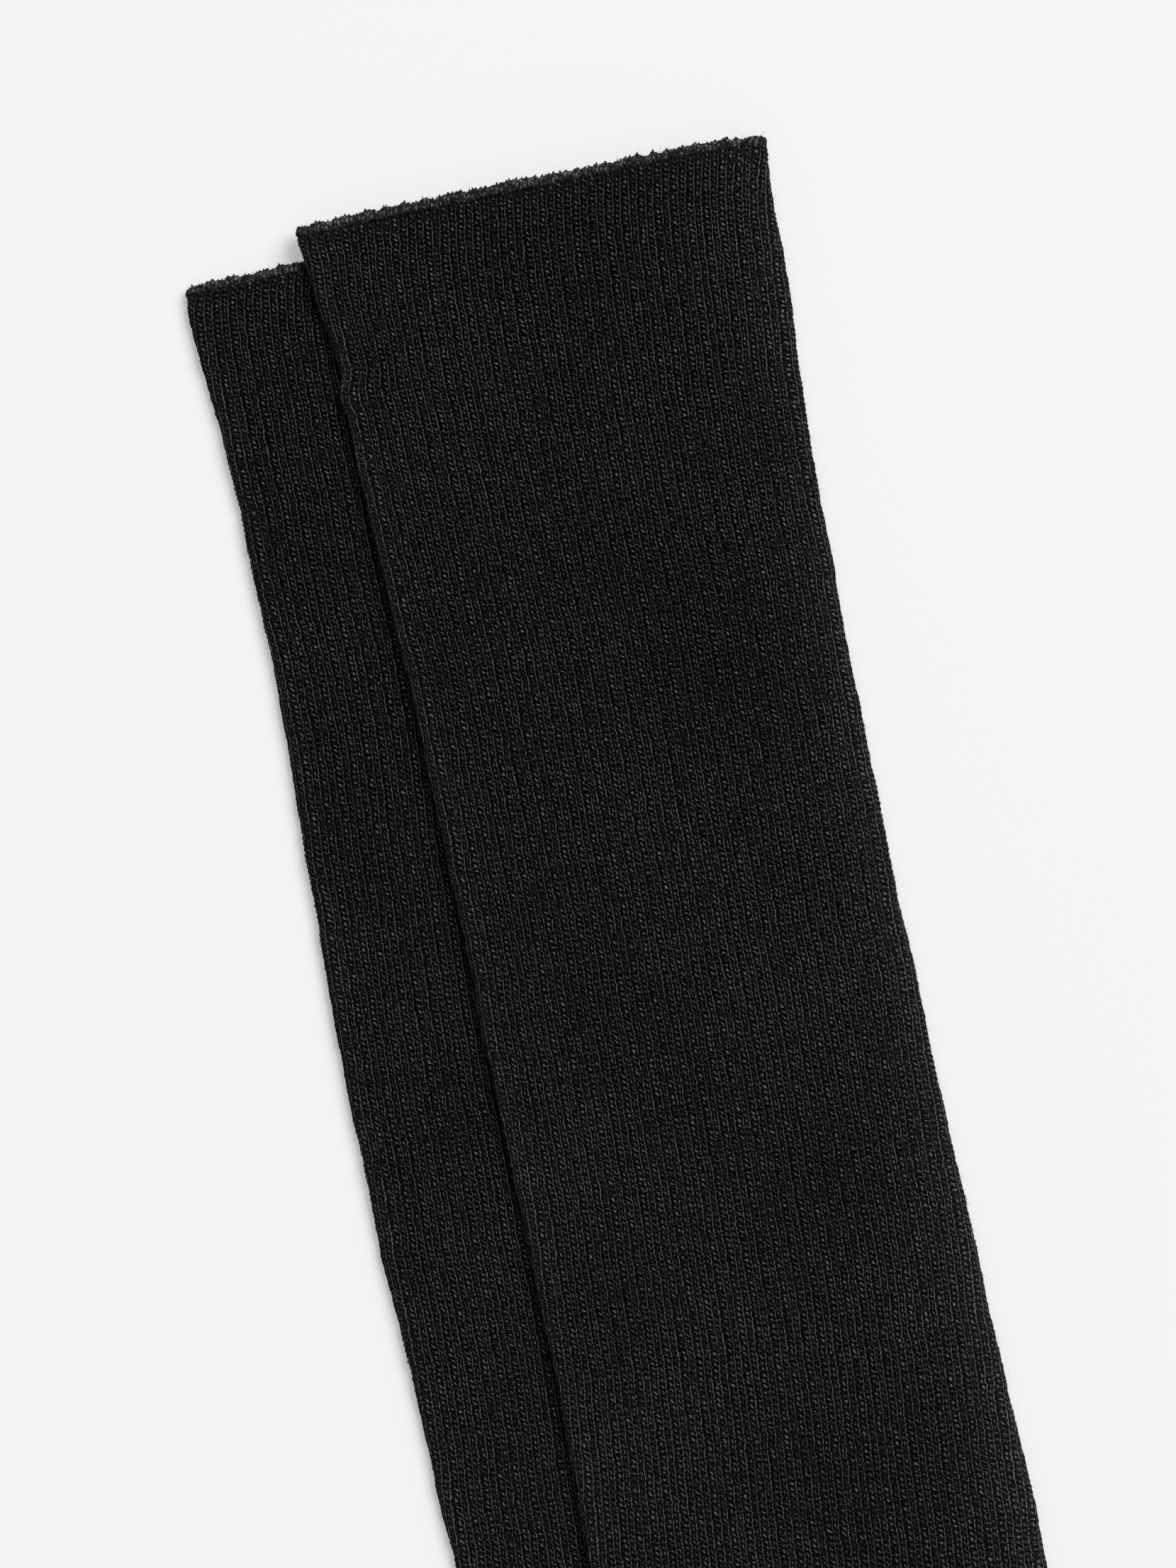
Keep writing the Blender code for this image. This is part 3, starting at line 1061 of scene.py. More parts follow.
    def heel_courses(self, outer: Array, wale: Array, course: Array) -> Array:
        """Course counts round the heel, where the heel's own wales are longer.

        Args:
            outer: Grid of the outer face.
            wale: The columns in wales, closed.
            course: The rows' nominal courses.

        Returns:
            The course of each corner.
        """
        length = np.linalg.norm(np.diff(outer, axis=0), axis=-1).sum(axis=0)
        whole = np.floor(wale[:-1])
        middle = np.array([np.median(length[whole == w]) for w in whole])
        counts = np.maximum(np.round(middle / GAUGE_ROWS[-1].course), self.least_courses)
        progress = (course - course[0]) / (course[-1] - course[0])
        shape = (len(course) - 1, len(whole))
        low, high = (np.broadcast_to(side[:, None], shape) for side in (progress[:-1], progress[1:]))
        corners = np.stack([low, high, high, low], -1) * counts[:, None]
        return course[0] + corners.reshape(-1, 4)

    def bake_corners(self, place: Array, rows: int) -> Array:
        """Corners of the outer face in the bake map: two half loops, one above the other.

        Args:
            place: The columns in wales from the first one, closed.
            rows: How many rows the face has.

        Returns:
            The bake map's place of each corner.
        """
        half = self.knitting.needles / 2
        share = self.outer_top / 2 - 2 * self.bake_gap
        upper = place[:-1] >= half
        left = place[:-1] - np.where(upper, half, 0)
        right = place[1:] - np.where(upper, half, 0)
        base = np.where(upper, self.outer_top / 2 + self.bake_gap, self.bake_gap)
        low = np.arange(rows - 1)[:, None] / (rows - 1) * share
        high = np.arange(1, rows)[:, None] / (rows - 1) * share
        shape = (rows - 1, len(base))
        u0, u1 = (
            np.broadcast_to(self.bake_side + self.bake_width * x / half, shape) for x in (left, right)
        )
        v0, v1 = (np.broadcast_to(base + y, shape) for y in (low, high))
        return box_corners(u0, u1, v0, v1)

    def add_inner(
        self,
        parts: MeshParts,
        stretch: Stretch,
        wale: Array,
        course: Array,
        station: Array,
        outer: Array,
    ) -> None:
        """Add the inner face and the cloth's cut thickness at both ends.

        Args:
            parts: The mesh so far.
            stretch: Which stretch.
            wale: The columns in wales, closed.
            course: The outer rows' courses.
            station: The outer rows' stations.
            outer: Point numbers of the outer face.
        """
        joints = np.flatnonzero(np.mod(wale[:-1], 1.0) == 0)
        count = max(3, int((station[-1] - station[0]) / self.inner_spacing))
        pick = np.unique(np.linspace(0, len(course) - 1, count).astype(int))
        wales, courses = np.meshgrid(wale[joints], course[pick])
        stations = np.broadcast_to(station[pick][:, None], wales.shape)
        laid, part = self.knitting.lay(wales, courses, stations)
        laid = np.minimum(laid, self.tube.plan.whole_length - self.inner_end_clear)
        points = self.tube.points(laid, part, Face.INNER)
        points[..., 2] -= (self.creases(laid, part) * (np.mod(part, 1.0) < 0.5)) * self.inner_press
        inner = parts.add_points(points)
        around = np.append(wale[joints], wale[-1])[::-1]
        share = (around - wale[0]) / self.knitting.needles
        up = np.linspace(self.outer_top + self.inner_gap, self.inner_top, len(pick))
        bake = quads(np.stack(np.meshgrid(share, up), -1))
        parts.add_faces(quads(closed_up(inner, 1)[:, ::-1]), knit_corners(around, course[pick]), bake)
        start, end, lining_end = self.end_levels
        self.add_end(parts, wale, course[0], outer[0], inner[0], joints, start, 1)
        if stretch is not Stretch.TOE:
            self.add_end(parts, wale, course[-1], outer[-1], inner[-1], joints, end, -1)
            return
        for row, level, turn in ((outer[-1], end, 1), (inner[-1], lining_end, -1)):
            corners = row[None, ::turn]
            flat = np.linspace(0, 1, corners.shape[1])
            bake = np.stack([flat, level + self.end_high / 3 * np.sin(flat * math.pi)], -1)
            knit = np.stack([flat * self.cap_wales, np.full_like(flat, course[-1])], -1)
            parts.add_faces(corners, knit[None], bake[None], sharp=True)

    def add_end(
        self,
        parts: MeshParts,
        wale: Array,
        course: float,
        outer: Array,
        inner: Array,
        joints: Array,
        level: float,
        turn: int,
    ) -> None:
        """Close the cloth's thickness at one end of a stretch.

        Args:
            parts: The mesh so far.
            wale: The columns in wales, closed.
            course: The end row's course.
            outer: Point numbers of the outer end row.
            inner: Point numbers of the inner end row.
            joints: Columns that the inner face has too.
            level: Height of the faces' strip in the bake map.
            turn: Which way round the faces are wound.
        """
        ends = np.append(joints[1:], len(outer))
        for k, (start, end) in enumerate(zip(joints, ends, strict=True)):
            run = np.arange(start, end + 1)
            numbers = outer[run % len(outer)]
            following = inner[(k + 1) % len(inner)]
            corners = np.concatenate([numbers, [following, inner[k]]])[::turn]
            place = (wale[run] - wale[0]) / self.knitting.needles
            flat = np.concatenate([place, place[[-1, 0]]])[::turn]
            high = np.concatenate([np.zeros(len(run)), [1.0, 1.0]])[::turn]
            bake = np.stack([flat, level + self.end_high * high], -1)
            knit = np.stack([flat * self.knitting.needles, np.full_like(flat, course)], -1)
            parts.add_faces(corners[None], knit[None], bake[None], sharp=True)

    def cut_size(self, stretch: Stretch) -> tuple[float, float, float]:
        """Flat width, length and area of a stretch's cloth, in millimetres."""
        _, station = self.rows(stretch)
        fine = np.linspace(station[0], station[-1], self.loop_steps)
        loop = self.tube.loop_length(fine)
        nominal = float(station[-1] - station[0])
        length = 0.5 * (self.heel_run(1.0) + self.heel_run(0.0)) if stretch is Stretch.HEEL else nominal
        area = float(np.trapz(loop, fine)) * length / nominal
        return float(loop.max()), length, area

    def heel_run(self, share: float) -> float:
        """Length round the ankle, from 0 on the instep side to 1 on the heel side."""
        plan = self.tube.plan
        turned = np.linspace(plan.leg_length, plan.turn_end, self.turn_steps)
        heel, instep, _ = self.tube.sections.at(turned)
        line = heel * share + instep * (1 - share)
        return float(np.linalg.norm(np.diff(line, axis=0), axis=-1).sum())


# ---------------------------------------------------------------- the cuff's edge


@dataclass
class CuffRim:
    """The linked-off self edge of a cuff: a soft roll of slanting loops, two to a wale."""

    tube: Tube
    knitting: Knitting
    columns: int = 12  # to a wale
    around: int = 10
    half_length: float = 0.92
    half_height: float = 0.74
    centre: float = 0.75  # station of the roll's middle
    set_back: float = 0.2
    lowest: float = 0.02
    loop_bump: float = 0.30
    loop_level: float = 0.55  # height in a loop's own bump that is level with the roll
    loop_fullness: float = 0.8  # below 1 a loop is blunter than a sine
    slant: float = 0.5  # wales that a loop leans over the roll
    uneven: float = 0.55
    stray: float = 0.22  # wales that a loop sits off its place
    tallness: float = 0.22
    stretch: float = 0.35  # of the roll's outside for each millimetre that it rises
    rise_share: float = 0.5  # of the rise that moves the whole roll
    tooth: float = 0.95  # most that a loop stands out of the roll
    roughness: float = 0.05
    bake_bands: int = 8
    bake_margin: float = 0.04  # of a band
    side_step: float = 0.0008  # of the loop, between places that a direction is measured from
    draw: int = 5  # which of the sock's random draws it takes

    def centre_line(self, part: Array) -> tuple[Array, Array, Array]:
        """Middle of the roll round the mouth.

        Args:
            part: Parts of the loop.

        Returns:
            The places, the direction out of the mouth and the direction out of the cloth.
        """
        station = np.full(part.shape, self.centre)
        sink = self.tube.cloth.wall / 2
        moves = (0.0, -self.side_step, self.side_step)
        middle, before, after = (self.tube.points(station, part + move, Face.OUTER, sink) for move in moves)
        down = self.tube.points(station + 1.0, part, Face.OUTER, sink)
        out = unit(middle - down)
        return middle, out, unit(np.cross(after - before, out))

    def roll(self, wale: Array, angle: Array) -> Array:
        """Shape the roll, with its loops in relief.

        Args:
            wale: Places round the mouth, in wales.
            angle: Angles round the roll.

        Returns:
            A grid of points, one row to an angle.
        """
        needles = self.knitting.needles
        rng = np.random.default_rng(self.tube.lay.seed + self.draw)
        size = 1 + rng.normal(0, self.uneven, 2 * needles + 1)
        tall = rng.normal(0, self.tallness, needles + 1)
        shift = rng.normal(0, self.stray, needles + 1)
        tooth = rng.uniform(0, self.tooth, 2 * needles + 1)
        for values in (size, tall, shift):
            values[-1] = values[0]
        part, places = wale / needles, np.arange(needles + 1)
        middle, out, normal = self.centre_line(part)
        rise = read_rows(self.tube.lay.rim, "rise", self.tube.across_at(np.zeros(len(part)), part))
        lift = rise + np.interp(wale, places, tall)
        wales, angles = np.meshgrid(wale, angle)
        ahead, aside = np.cos(angles), np.sin(angles)
        leaning = wales + self.slant * aside + np.interp(wales, places, shift)
        which = np.mod(2 * leaning, 2 * needles).astype(int)
        loop = np.abs(np.sin(TAU * leaning)) ** self.loop_fullness
        teeth = tooth[which] * loop * np.maximum(ahead, 0)
        swell = 1 + self.loop_bump * size[which] * (loop - self.loop_level)
        swell = swell + rng.normal(0, self.roughness, swell.shape)
        radius_out = self.half_length * swell * (1 + self.stretch * lift * (ahead > 0)) - self.set_back
        place = (
            middle
            + out * (ahead * radius_out)[..., None]
            + out * (self.rise_share * lift + teeth)[..., None]
            + normal * (aside * (self.half_height * swell))[..., None]
        )
        place[..., 2] = np.maximum(place[..., 2], self.lowest)
        return place

    def bake_corners(self, wale: Array, angle: Array) -> Array:
        """Corners of the roll in the bake map, where it lies in bands one above the other.

        Args:
            wale: Places round the mouth, in wales, closed.
            angle: Angles round the roll, closed.

        Returns:
            The bake map's place of each corner.
        """
        along, turned = np.meshgrid(wale / self.knitting.needles, angle / TAU)
        along = along * self.bake_bands
        band = np.floor(along[:-1, :-1])
        low, high = (
            (band + self.bake_margin + (1 - 2 * self.bake_margin) * side) / self.bake_bands
            for side in (turned[:-1, :-1], turned[1:, :-1])
        )
        return box_corners(along[:-1, :-1] - band, along[:-1, 1:] - band, low, high)

    def build(self, finish: bpy.types.Material) -> bpy.types.Object:
        """Build the roll as a closed ring.

        Args:
            finish: The rim's wool.

        Returns:
            The new piece.
        """
        wale = np.arange(self.knitting.needles * self.columns + 1) / self.columns
        angle = np.arange(self.around + 1) / self.around * TAU
        parts = MeshParts()
        numbers = parts.add_points(self.roll(wale[:-1], angle[:-1]))
        closed = closed_up(closed_up(numbers, 1))
        knit = knit_corners(wale, angle / TAU)
        parts.add_faces(quads(closed), knit, self.bake_corners(wale, angle))
        name = self.tube.lay.name
        return add_piece(parts.mesh(f"{name}_rim"), finish, name)


# ---------------------------------------------------------------- loose fibres


class Hair(NamedTuple):
    """A kind of loose fibre: how long it grows, how many points it has, how thick and curly it is."""

    mean: float
    evenness: float  # 1 has mostly the shortest, and more brings them nearer to the mean
    shortest: float
    longest: float
    steps: int
    radius: float
    curl: float = 0.9
    tallest: float = 100.0  # height above its root that it bends over at

    def lengths(self, rng: np.random.Generator, count: int) -> Array:
        """Draw the lengths of so many hairs."""
        grown = rng.gamma(self.evenness, self.mean / self.evenness, count) + self.shortest
        return np.minimum(grown, self.longest)


FOLD_DOWN = Hair(0.36, 4.0, 0.12, 2.4, steps=3, radius=0.028)
FOLD_WISP = Hair(1.1, 4.0, 0.12, 2.4, steps=5, radius=0.016)
RIM_DOWN = Hair(0.42, 3.0, 0.15, 3.0, steps=3, radius=0.028)
RIM_WISP = Hair(1.0, 3.0, 0.15, 3.0, steps=5, radius=0.016)
NAP = Hair(0.9, 2.0, 0.5, 3.5, steps=5, radius=0.016, curl=1.5, tallest=0.7)


@dataclass
class LooseFibres:
    """Fine wool fibres that stand off the cloth, each a thin curved hair of three sides."""

    tube: Tube
    finish: bpy.types.Material
    lowest: float = 0.03
    sunk: float = 0.1  # of a root under the cloth's plain face
    sides: int = 3
    taper: float = 0.75
    droop: float = 0.35  # of its reach that a curl takes away
    bow: float = 0.6
    twist: float = 0.35
    swing: tuple = (2.0, 5.0)  # radians that a hair twists over its length
    across_step: float = 0.001  # of the loop, that the direction across is measured over
    along_step: float = 0.5
    fold_wisps: float = 0.9  # to a millimetre
    fold_spread: float = 0.007  # of the loop to both sides of a fold
    fold_aim: tuple = (0.9, 0.5)  # spread of the directions along and across a fold
    rim_wisps: float = 0.14  # to a short hair
    rim_spread: float = 0.9  # radians round the roll
    rim_reach: tuple = (0.78, 0.6)  # of the roll, where the roots are
    rim_rise: float = 0.8
    rim_aim: tuple = (0.8, 0.3)
    nap_lean: tuple = (0.1, 0.5)
    nap_roots: tuple = (0.08, 0.2)  # heights over the stitches' feet

    def hairs(
        self, roots: Array, aims: Array, lengths: Array, kind: Hair, seed: int
    ) -> tuple[Array, Array]:
        """Points and faces of many hairs.

        Args:
            roots: Where they leave the cloth.
            aims: The directions they leave in.
            lengths: Their lengths.
            kind: What they have in common.
            seed: Start of the random draws.

        Returns:
            The points, and the point numbers of the faces counted from 0.
        """
        rng = np.random.default_rng(seed)
        count = len(roots)
        aims = unit(aims)
        bend = rng.normal(size=(count, 3))
        bend -= aims * (bend * aims).sum(-1, keepdims=True)
        twist = np.cross(aims, bend)
        t = np.linspace(0, 1, kind.steps)[None, :, None]
        reach = lengths[:, None, None]
        swing = rng.uniform(*self.swing, (count, 1, 1))
        line = roots[:, None] + aims[:, None] * t * reach * (1 - self.droop * kind.curl * t)
        line = line + bend[:, None] * kind.curl * reach * t**2 * self.bow
        line = line + twist[:, None] * kind.curl * reach * np.sin(swing * t) * t * self.twist
        rise = kind.tallest * np.tanh((line[..., 2] - roots[:, None, 2]) / kind.tallest)
        line[..., 2] = np.maximum(roots[:, None, 2] + rise, self.lowest)
        run = np.gradient(line, axis=1)
        side = unit(np.cross(run, rng.normal(size=(count, 1, 3))))
        other = np.cross(unit(run), side)
        radius = kind.radius * (1 - self.taper * t)
        turns = [TAU * k / self.sides for k in range(self.sides)]
        rings = [line + (side * math.cos(turn) + other * math.sin(turn)) * radius for turn in turns]
        numbers = np.arange(count * kind.steps * self.sides).reshape(count, kind.steps, self.sides)
        a, b = numbers[:, :-1], numbers[:, 1:]
        faces = np.stack([a, np.roll(a, -1, 2), np.roll(b, -1, 2), b], -1).reshape(-1, 4)
        return np.stack(rings, axis=2).reshape(-1, 3), faces

    def place(self, name: str, bunches: list) -> bpy.types.Object:
        """Add bunches of hairs as one piece.

        Args:
            name: The piece's name.
            bunches: The points and faces of each bunch.

        Returns:
            The new piece.
        """
        parts = MeshParts()
        for points, faces in bunches:
            first = parts.count
            parts.add_points(points)
            flat = np.zeros((len(faces), 4, 2))
            parts.add_faces(faces + first, flat, flat)
        data = parts.mesh(name)
        while data.uv_layers:
            data.uv_layers.remove(data.uv_layers[0])
        return add_piece(data, self.finish)

    def on_cloth(self, station: Array, part: Array) -> tuple[Array, Array, Array, Array]:
        """Places on the outer face, with the directions out, across and along."""
        middle = self.tube.points(station, part, Face.OUTER, self.sunk)
        after = self.tube.points(station, part + self.across_step, Face.OUTER, self.sunk)
        down = self.tube.points(station + self.along_step, part, Face.OUTER, self.sunk)
        across, along = unit(after - middle), unit(down - middle)
        return middle, np.cross(along, across), across, along

    def edge(self, name: str, reach: tuple, part: float, per_mm: float, seed: int) -> bpy.types.Object:
        """Fuzz along a fold.

        Args:
            name: The piece's name.
            reach: First and last station.
            part: Part of the loop that the fold is at.
            per_mm: Short hairs to a millimetre.
            seed: Start of the random draws.

        Returns:
            The new piece.
        """
        rng = np.random.default_rng(seed)
        bunches = []
        more_along, more_across = self.fold_aim
        for kind, each in ((FOLD_DOWN, per_mm), (FOLD_WISP, self.fold_wisps)):
            count = int((reach[1] - reach[0]) * each)
            station = rng.uniform(*reach, count)
            around = part + rng.normal(0, self.fold_spread, count)
            roots, out, across, along = self.on_cloth(station, around)
            spread = rng.normal(0, 1, (count, 2))
            aims = out + along * spread[:, :1] * more_along + across * spread[:, 1:] * more_across
            bunches.append(self.hairs(roots, aims, kind.lengths(rng, count), kind, seed + kind.steps))
        return self.place(name, bunches)

    def rim(self, name: str, rim: CuffRim, count: int, seed: int) -> bpy.types.Object:
        """Wisps that stand out of a cuff's rolled edge.

        Args:
            name: The piece's name.
            rim: The rolled edge.
            count: How many short hairs.
            seed: Start of the random draws.

        Returns:
            The new piece.
        """
        rng = np.random.default_rng(seed)
        bunches = []
        ahead, aside = self.rim_reach
        more_along, more_aside = self.rim_aim
        for kind, each in ((RIM_DOWN, count), (RIM_WISP, int(count * self.rim_wisps))):
            part = rng.uniform(0, 1, each)
            middle, out, normal = rim.centre_line(part)
            across = self.tube.across_at(np.zeros(each), part)
            rise = read_rows(self.tube.lay.rim, "rise", across)[:, None]
            angle = rng.normal(0, self.rim_spread, (each, 1))
            lifted = rise * self.rim_rise + ahead * np.cos(angle)
            roots = middle + out * lifted + normal * aside * np.sin(angle)
            round_it = np.cross(out, normal)
            spread = rng.normal(0, 1, (each, 2))
            aims = out * np.cos(angle) + normal * np.sin(angle) + round_it * spread[:, :1] * more_along
            aims = aims + normal * spread[:, 1:] * more_aside
            bunches.append(self.hairs(roots, aims, kind.lengths(rng, each), kind, seed + kind.steps))
        return self.place(name, bunches)

    def nap(self, name: str, reach: tuple, span: tuple, count: int, seed: int) -> bpy.types.Object:
        """Stray hairs that lie on a face.

        Args:
            name: The piece's name.
            reach: First and last station.
            span: First and last part of the loop.
            count: How many hairs.
            seed: Start of the random draws.

        Returns:
            The new piece.
        """
        rng = np.random.default_rng(seed)
        station = rng.uniform(*reach, count)
        part = rng.uniform(*span, count)
        roots, out, across, along = self.on_cloth(station, part)
        turn = rng.uniform(0, TAU, (count, 1))
        lean = rng.uniform(*self.nap_lean, (count, 1))
        aims = across * np.cos(turn) + along * np.sin(turn) + out * lean
        roots = roots + out * rng.uniform(*self.nap_roots, (count, 1))
        return self.place(name, [self.hairs(roots, aims, NAP.lengths(rng, count), NAP, seed + 1)])


# ---------------------------------------------------------------- finishes


def linear(code: str) -> tuple[float, float, float, float]:
    """Turn an sRGB hex colour to linear.

    Args:
        code: Six hex digits after a hash.

    Returns:
        Linear red, green, blue and an alpha of 1.
    """
    values = [int(code[k : k + 2], 16) / 255 for k in (1, 3, 5)]
    shades = [v / 12.92 if v <= 0.04045 else ((v + 0.055) / 1.055) ** 2.4 for v in values]
    return (*shades, 1.0)


def add_node(tree: bpy.types.NodeTree, kind: str, inputs: dict | None = None, **settings) -> bpy.types.Node:
    """Add a shader node.

    Args:
        tree: The material's nodes.
        kind: The node's type.
        inputs: Sockets by name or number, each with a value or the socket that feeds it.
        **settings: Properties of the node.

    Returns:
        The new node.
    """
    node = tree.nodes.new(kind)
    for name, value in settings.items():
        setattr(node, name, value)
    for key, value in (inputs or {}).items():
        if isinstance(value, bpy.types.NodeSocket):
            tree.links.new(value, node.inputs[key])
        else:
            node.inputs[key].default_value = value
    return node


class Step(NamedTuple):
    """One sum of a pattern: its name, what it does and what it works on."""

    name: str
    operation: str
    a: object
    b: object = None
    c: object = None
    clamp: bool = False

    @classmethod
    def between(cls, name: str, a: str, low: float, high: float, clamp: bool = False) -> "Step":
        """A sum that turns 0 into the low value and 1 into the high one."""
        return cls(name, "MULTIPLY_ADD", a, high - low, low, clamp)


def work_out(tree: bpy.types.NodeTree, values: dict, steps: tuple) -> dict:
    """Build a pattern's sums as nodes.

    Args:
        tree: The material's nodes.
        values: Sockets known so far, by name.
        steps: The sums in order.

    Returns:
        The sockets with the new ones.
    """
    values = dict(values)
    for step in steps:
        worked = [values[x] if isinstance(x, str) else x for x in (step.a, step.b, step.c)]
        inputs = {k: x for k, x in enumerate(worked) if x is not None}
        node = add_node(tree, "ShaderNodeMath", inputs, operation=step.operation, use_clamp=step.clamp)
        values[step.name] = node.outputs[0]
    return values


def start_material(name: str, roughness: float, level: float) -> tuple[bpy.types.Material, bpy.types.Node]:
    """Start a material.

    Args:
        name: What it is.
        roughness: How matt it is.
        level: Strength of its plain reflection.

    Returns:
        The material and its shader.
    """
    material = bpy.data.materials.new(name)
    material.use_nodes = True
    shader = material.node_tree.nodes["Principled BSDF"]
    shader.inputs["Roughness"].default_value = roughness
    shader.inputs["Specular IOR Level"].default_value = level
    return material, shader


@dataclass(frozen=True)
class Wool:
    """Black merino wool: what its three finishes share, with a pattern that each has of its own."""

    name: str
    shades: tuple  # from the hollows, where no light gets in, to combed fibres that catch it
    roughness: float
    level: float  # of the plain reflection, which wool has almost none of
    sheen: float = 0.0  # the fibre ends' pale scatter
    sheen_roughness: float = 0.45
    bump: float = 0.0  # relief too fine to model, in millimetres

    def pattern(self, tree: bpy.types.NodeTree) -> dict:
        """Work out the pattern.

        Args:
            tree: The material's nodes.

        Returns:
            Sockets by name: the shade from 0 to 1 and, where there is a bump, the height.
        """
        raise NotImplementedError

    def material(self) -> bpy.types.Material:
        """Build the material's nodes."""
        material, shader = start_material(self.name, self.roughness, self.level)
        shader.inputs["Sheen Weight"].default_value = self.sheen
        shader.inputs["Sheen Roughness"].default_value = self.sheen_roughness
        tree = material.node_tree
        values = self.pattern(tree)
        ramp = add_node(tree, "ShaderNodeValToRGB", {0: values["shade"]})
        stops = ramp.color_ramp.elements
        stops[0].color = linear(self.shades[0])
        stops[1].color = linear(self.shades[-1])
        for k, shade in enumerate(self.shades[1:-1], 1):
            stops.new(k / (len(self.shades) - 1)).color = linear(shade)
        tree.links.new(ramp.outputs[0], shader.inputs["Base Color"])
        if self.bump:
            relief = {"Height": values["height"], "Distance": self.bump * MM, "Strength": 1.0}
            bump = add_node(tree, "ShaderNodeBump", relief)
            tree.links.new(bump.outputs[0], shader.inputs["Normal"])
        return material


@dataclass(frozen=True)
class KnitWool(Wool):
    """Fine merino jersey, knitted on a sock machine from single-twist black yarn.

    The twist stands one leg of each stitch nearly upright, so every wale shows one fine bright
    line, beaded once a course, with short slanting dashes of the other leg between the lines.
    """

    name: str = "merino_jersey_knitted"
    # The knit's own pattern, with painted shade in its hollows and painted highlights on its lines and
    # dashes.
    shades: tuple = ("#000000", "#1F1F1F", "#5E5E5E")
    roughness: float = 0.9
    level: float = 0.02
    sheen: float = 0.012
    bump: float = 0.05
    line_at: float = 0.745  # part of a wale where the upright leg's line stands
    line_half: float = 0.11  # half of its width, in wales
    line_sway: float = 0.035
    line_light: float = 1.10
    dash_at: float = 0.31  # the same for the slanting leg's dash
    dash_wide: float = 0.32
    dash_slope: float = 1.33  # courses that a dash drops over a wale
    pair_drop: float = 0.42  # courses that a pair of wales drops
    dash_light: float = 1.06
    haze_light: float = 0.50  # of the fibres that bridge the stitches
    stray_size: float = 1 / 0.55  # wales over which the stitches lean together
    tangle_size: float = 1 / 2.1  # and over which they rise and drop
    patch_size: float = 100 / 3  # mm

    def pattern(self, tree: bpy.types.NodeTree) -> dict:
        """Work out the two legs of each stitch, the haze between them, and the painted light and shade that
        the mesh carries.

        Args:
            tree: The material's nodes.

        Returns:
            Sockets by name, the shade and the height among them.
        """
        knit = add_node(tree, "ShaderNodeUVMap", uv_map=KNIT_MAP).outputs[0]
        split = add_node(tree, "ShaderNodeSeparateXYZ", {0: knit})
        place = add_node(tree, "ShaderNodeTexCoord").outputs["Object"]
        painted_light = add_node(tree, "ShaderNodeAttribute", attribute_name=PAINTED_LIGHT)
        values = {"u": split.outputs[0], "v": split.outputs[1], "painted_light": painted_light.outputs["Fac"]}
        for name, fed, size in (
            ("stray", knit, self.stray_size),
            ("tangle", knit, self.tangle_size),
            ("patches", place, self.patch_size * MM),
        ):
            noise = add_node(tree, NOISE, {"Vector": fed, "Scale": 1 / size, "Detail": 0.0})
            values[name] = noise.outputs[0]
        values = work_out(tree, values, self.legs())
        for name in ("slanting", "standing", "crossing"):
            fed = add_node(tree, "ShaderNodeCombineXYZ", {0: values[f"{name}_a"], 1: values[f"{name}_b"]})
            noise = add_node(tree, NOISE, {"Vector": fed.outputs[0], "Scale": 1.0, "Detail": 0.0})
            values[name] = noise.outputs[0]
        return work_out(tree, values, self.light())

    def legs(self) -> tuple:
        """Sums for the two legs of a stitch, in wales across and courses down."""
        return (
            # Where in the knitting a point is, with each stitch a little off its place.
            Step.between("u_stray", "stray", -0.12, 0.12),
            Step.between("v_stray", "tangle", -0.25, 0.25),
            Step("u_now", "ADD", "u", "u_stray"),
            Step("half", "MULTIPLY", "u_now", 0.5),
            Step("of_pair", "FRACT", "half"),
            Step("v_pair", "MULTIPLY_ADD", "of_pair", -self.pair_drop, "v"),
            Step("v_now", "ADD", "v_pair", "v_stray"),
            Step("x", "FRACT", "u_now"),
            Step("wale", "FLOOR", "u_now"),
            # The upright leg: a fine line up the wale that sways once a course.
            Step("y_round", "MULTIPLY", "v_now", TAU),
            Step("sway", "SINE", "y_round"),
            Step("beading", "COSINE", "y_round"),
            Step("line_at", "MULTIPLY_ADD", "sway", self.line_sway, self.line_at),
            Step("off_line", "SUBTRACT", "x", "line_at"),
            Step("near_line", "DIVIDE", "off_line", self.line_half),
            Step("near_sq", "MULTIPLY", "near_line", "near_line"),
            Step.between("line", "near_sq", 1.2, 0.0, True),
            # The slanting leg: one dash to a course, and every second wale a little lighter.
            Step("off_dash", "SUBTRACT", "x", self.dash_at),
            Step("near_dash", "DIVIDE", "off_dash", self.dash_wide),
            Step("from_dash", "ABSOLUTE", "near_dash"),
            Step.between("window", "from_dash", 1.15, 0.0, True),
            Step("slope", "MULTIPLY_ADD", "off_dash", -self.dash_slope, "v_now"),
            Step("slope_round", "MULTIPLY", "slope", TAU),
            Step("slanted", "COSINE", "slope_round"),
            Step("from_pair", "SUBTRACT", "u_now", self.dash_at),
            Step("pair_round", "MULTIPLY", "from_pair", math.pi),
            Step("pair_wave", "COSINE", "pair_round"),
            # Places for three noises: along the slanting leg, along a wale, and across both.
            Step("slanting_a", "MULTIPLY", "slope", 3.3),
            Step("slanting_b", "MULTIPLY", "u_now", 3.6),
            Step("standing_a", "MULTIPLY", "wale", 7.31),
            Step("standing_b", "MULTIPLY", "v", 0.62),
            Step("crossing_a", "MULTIPLY", "u_now", 3.9),
            Step("crossing_b", "MULTIPLY", "v", 2.9),
        )

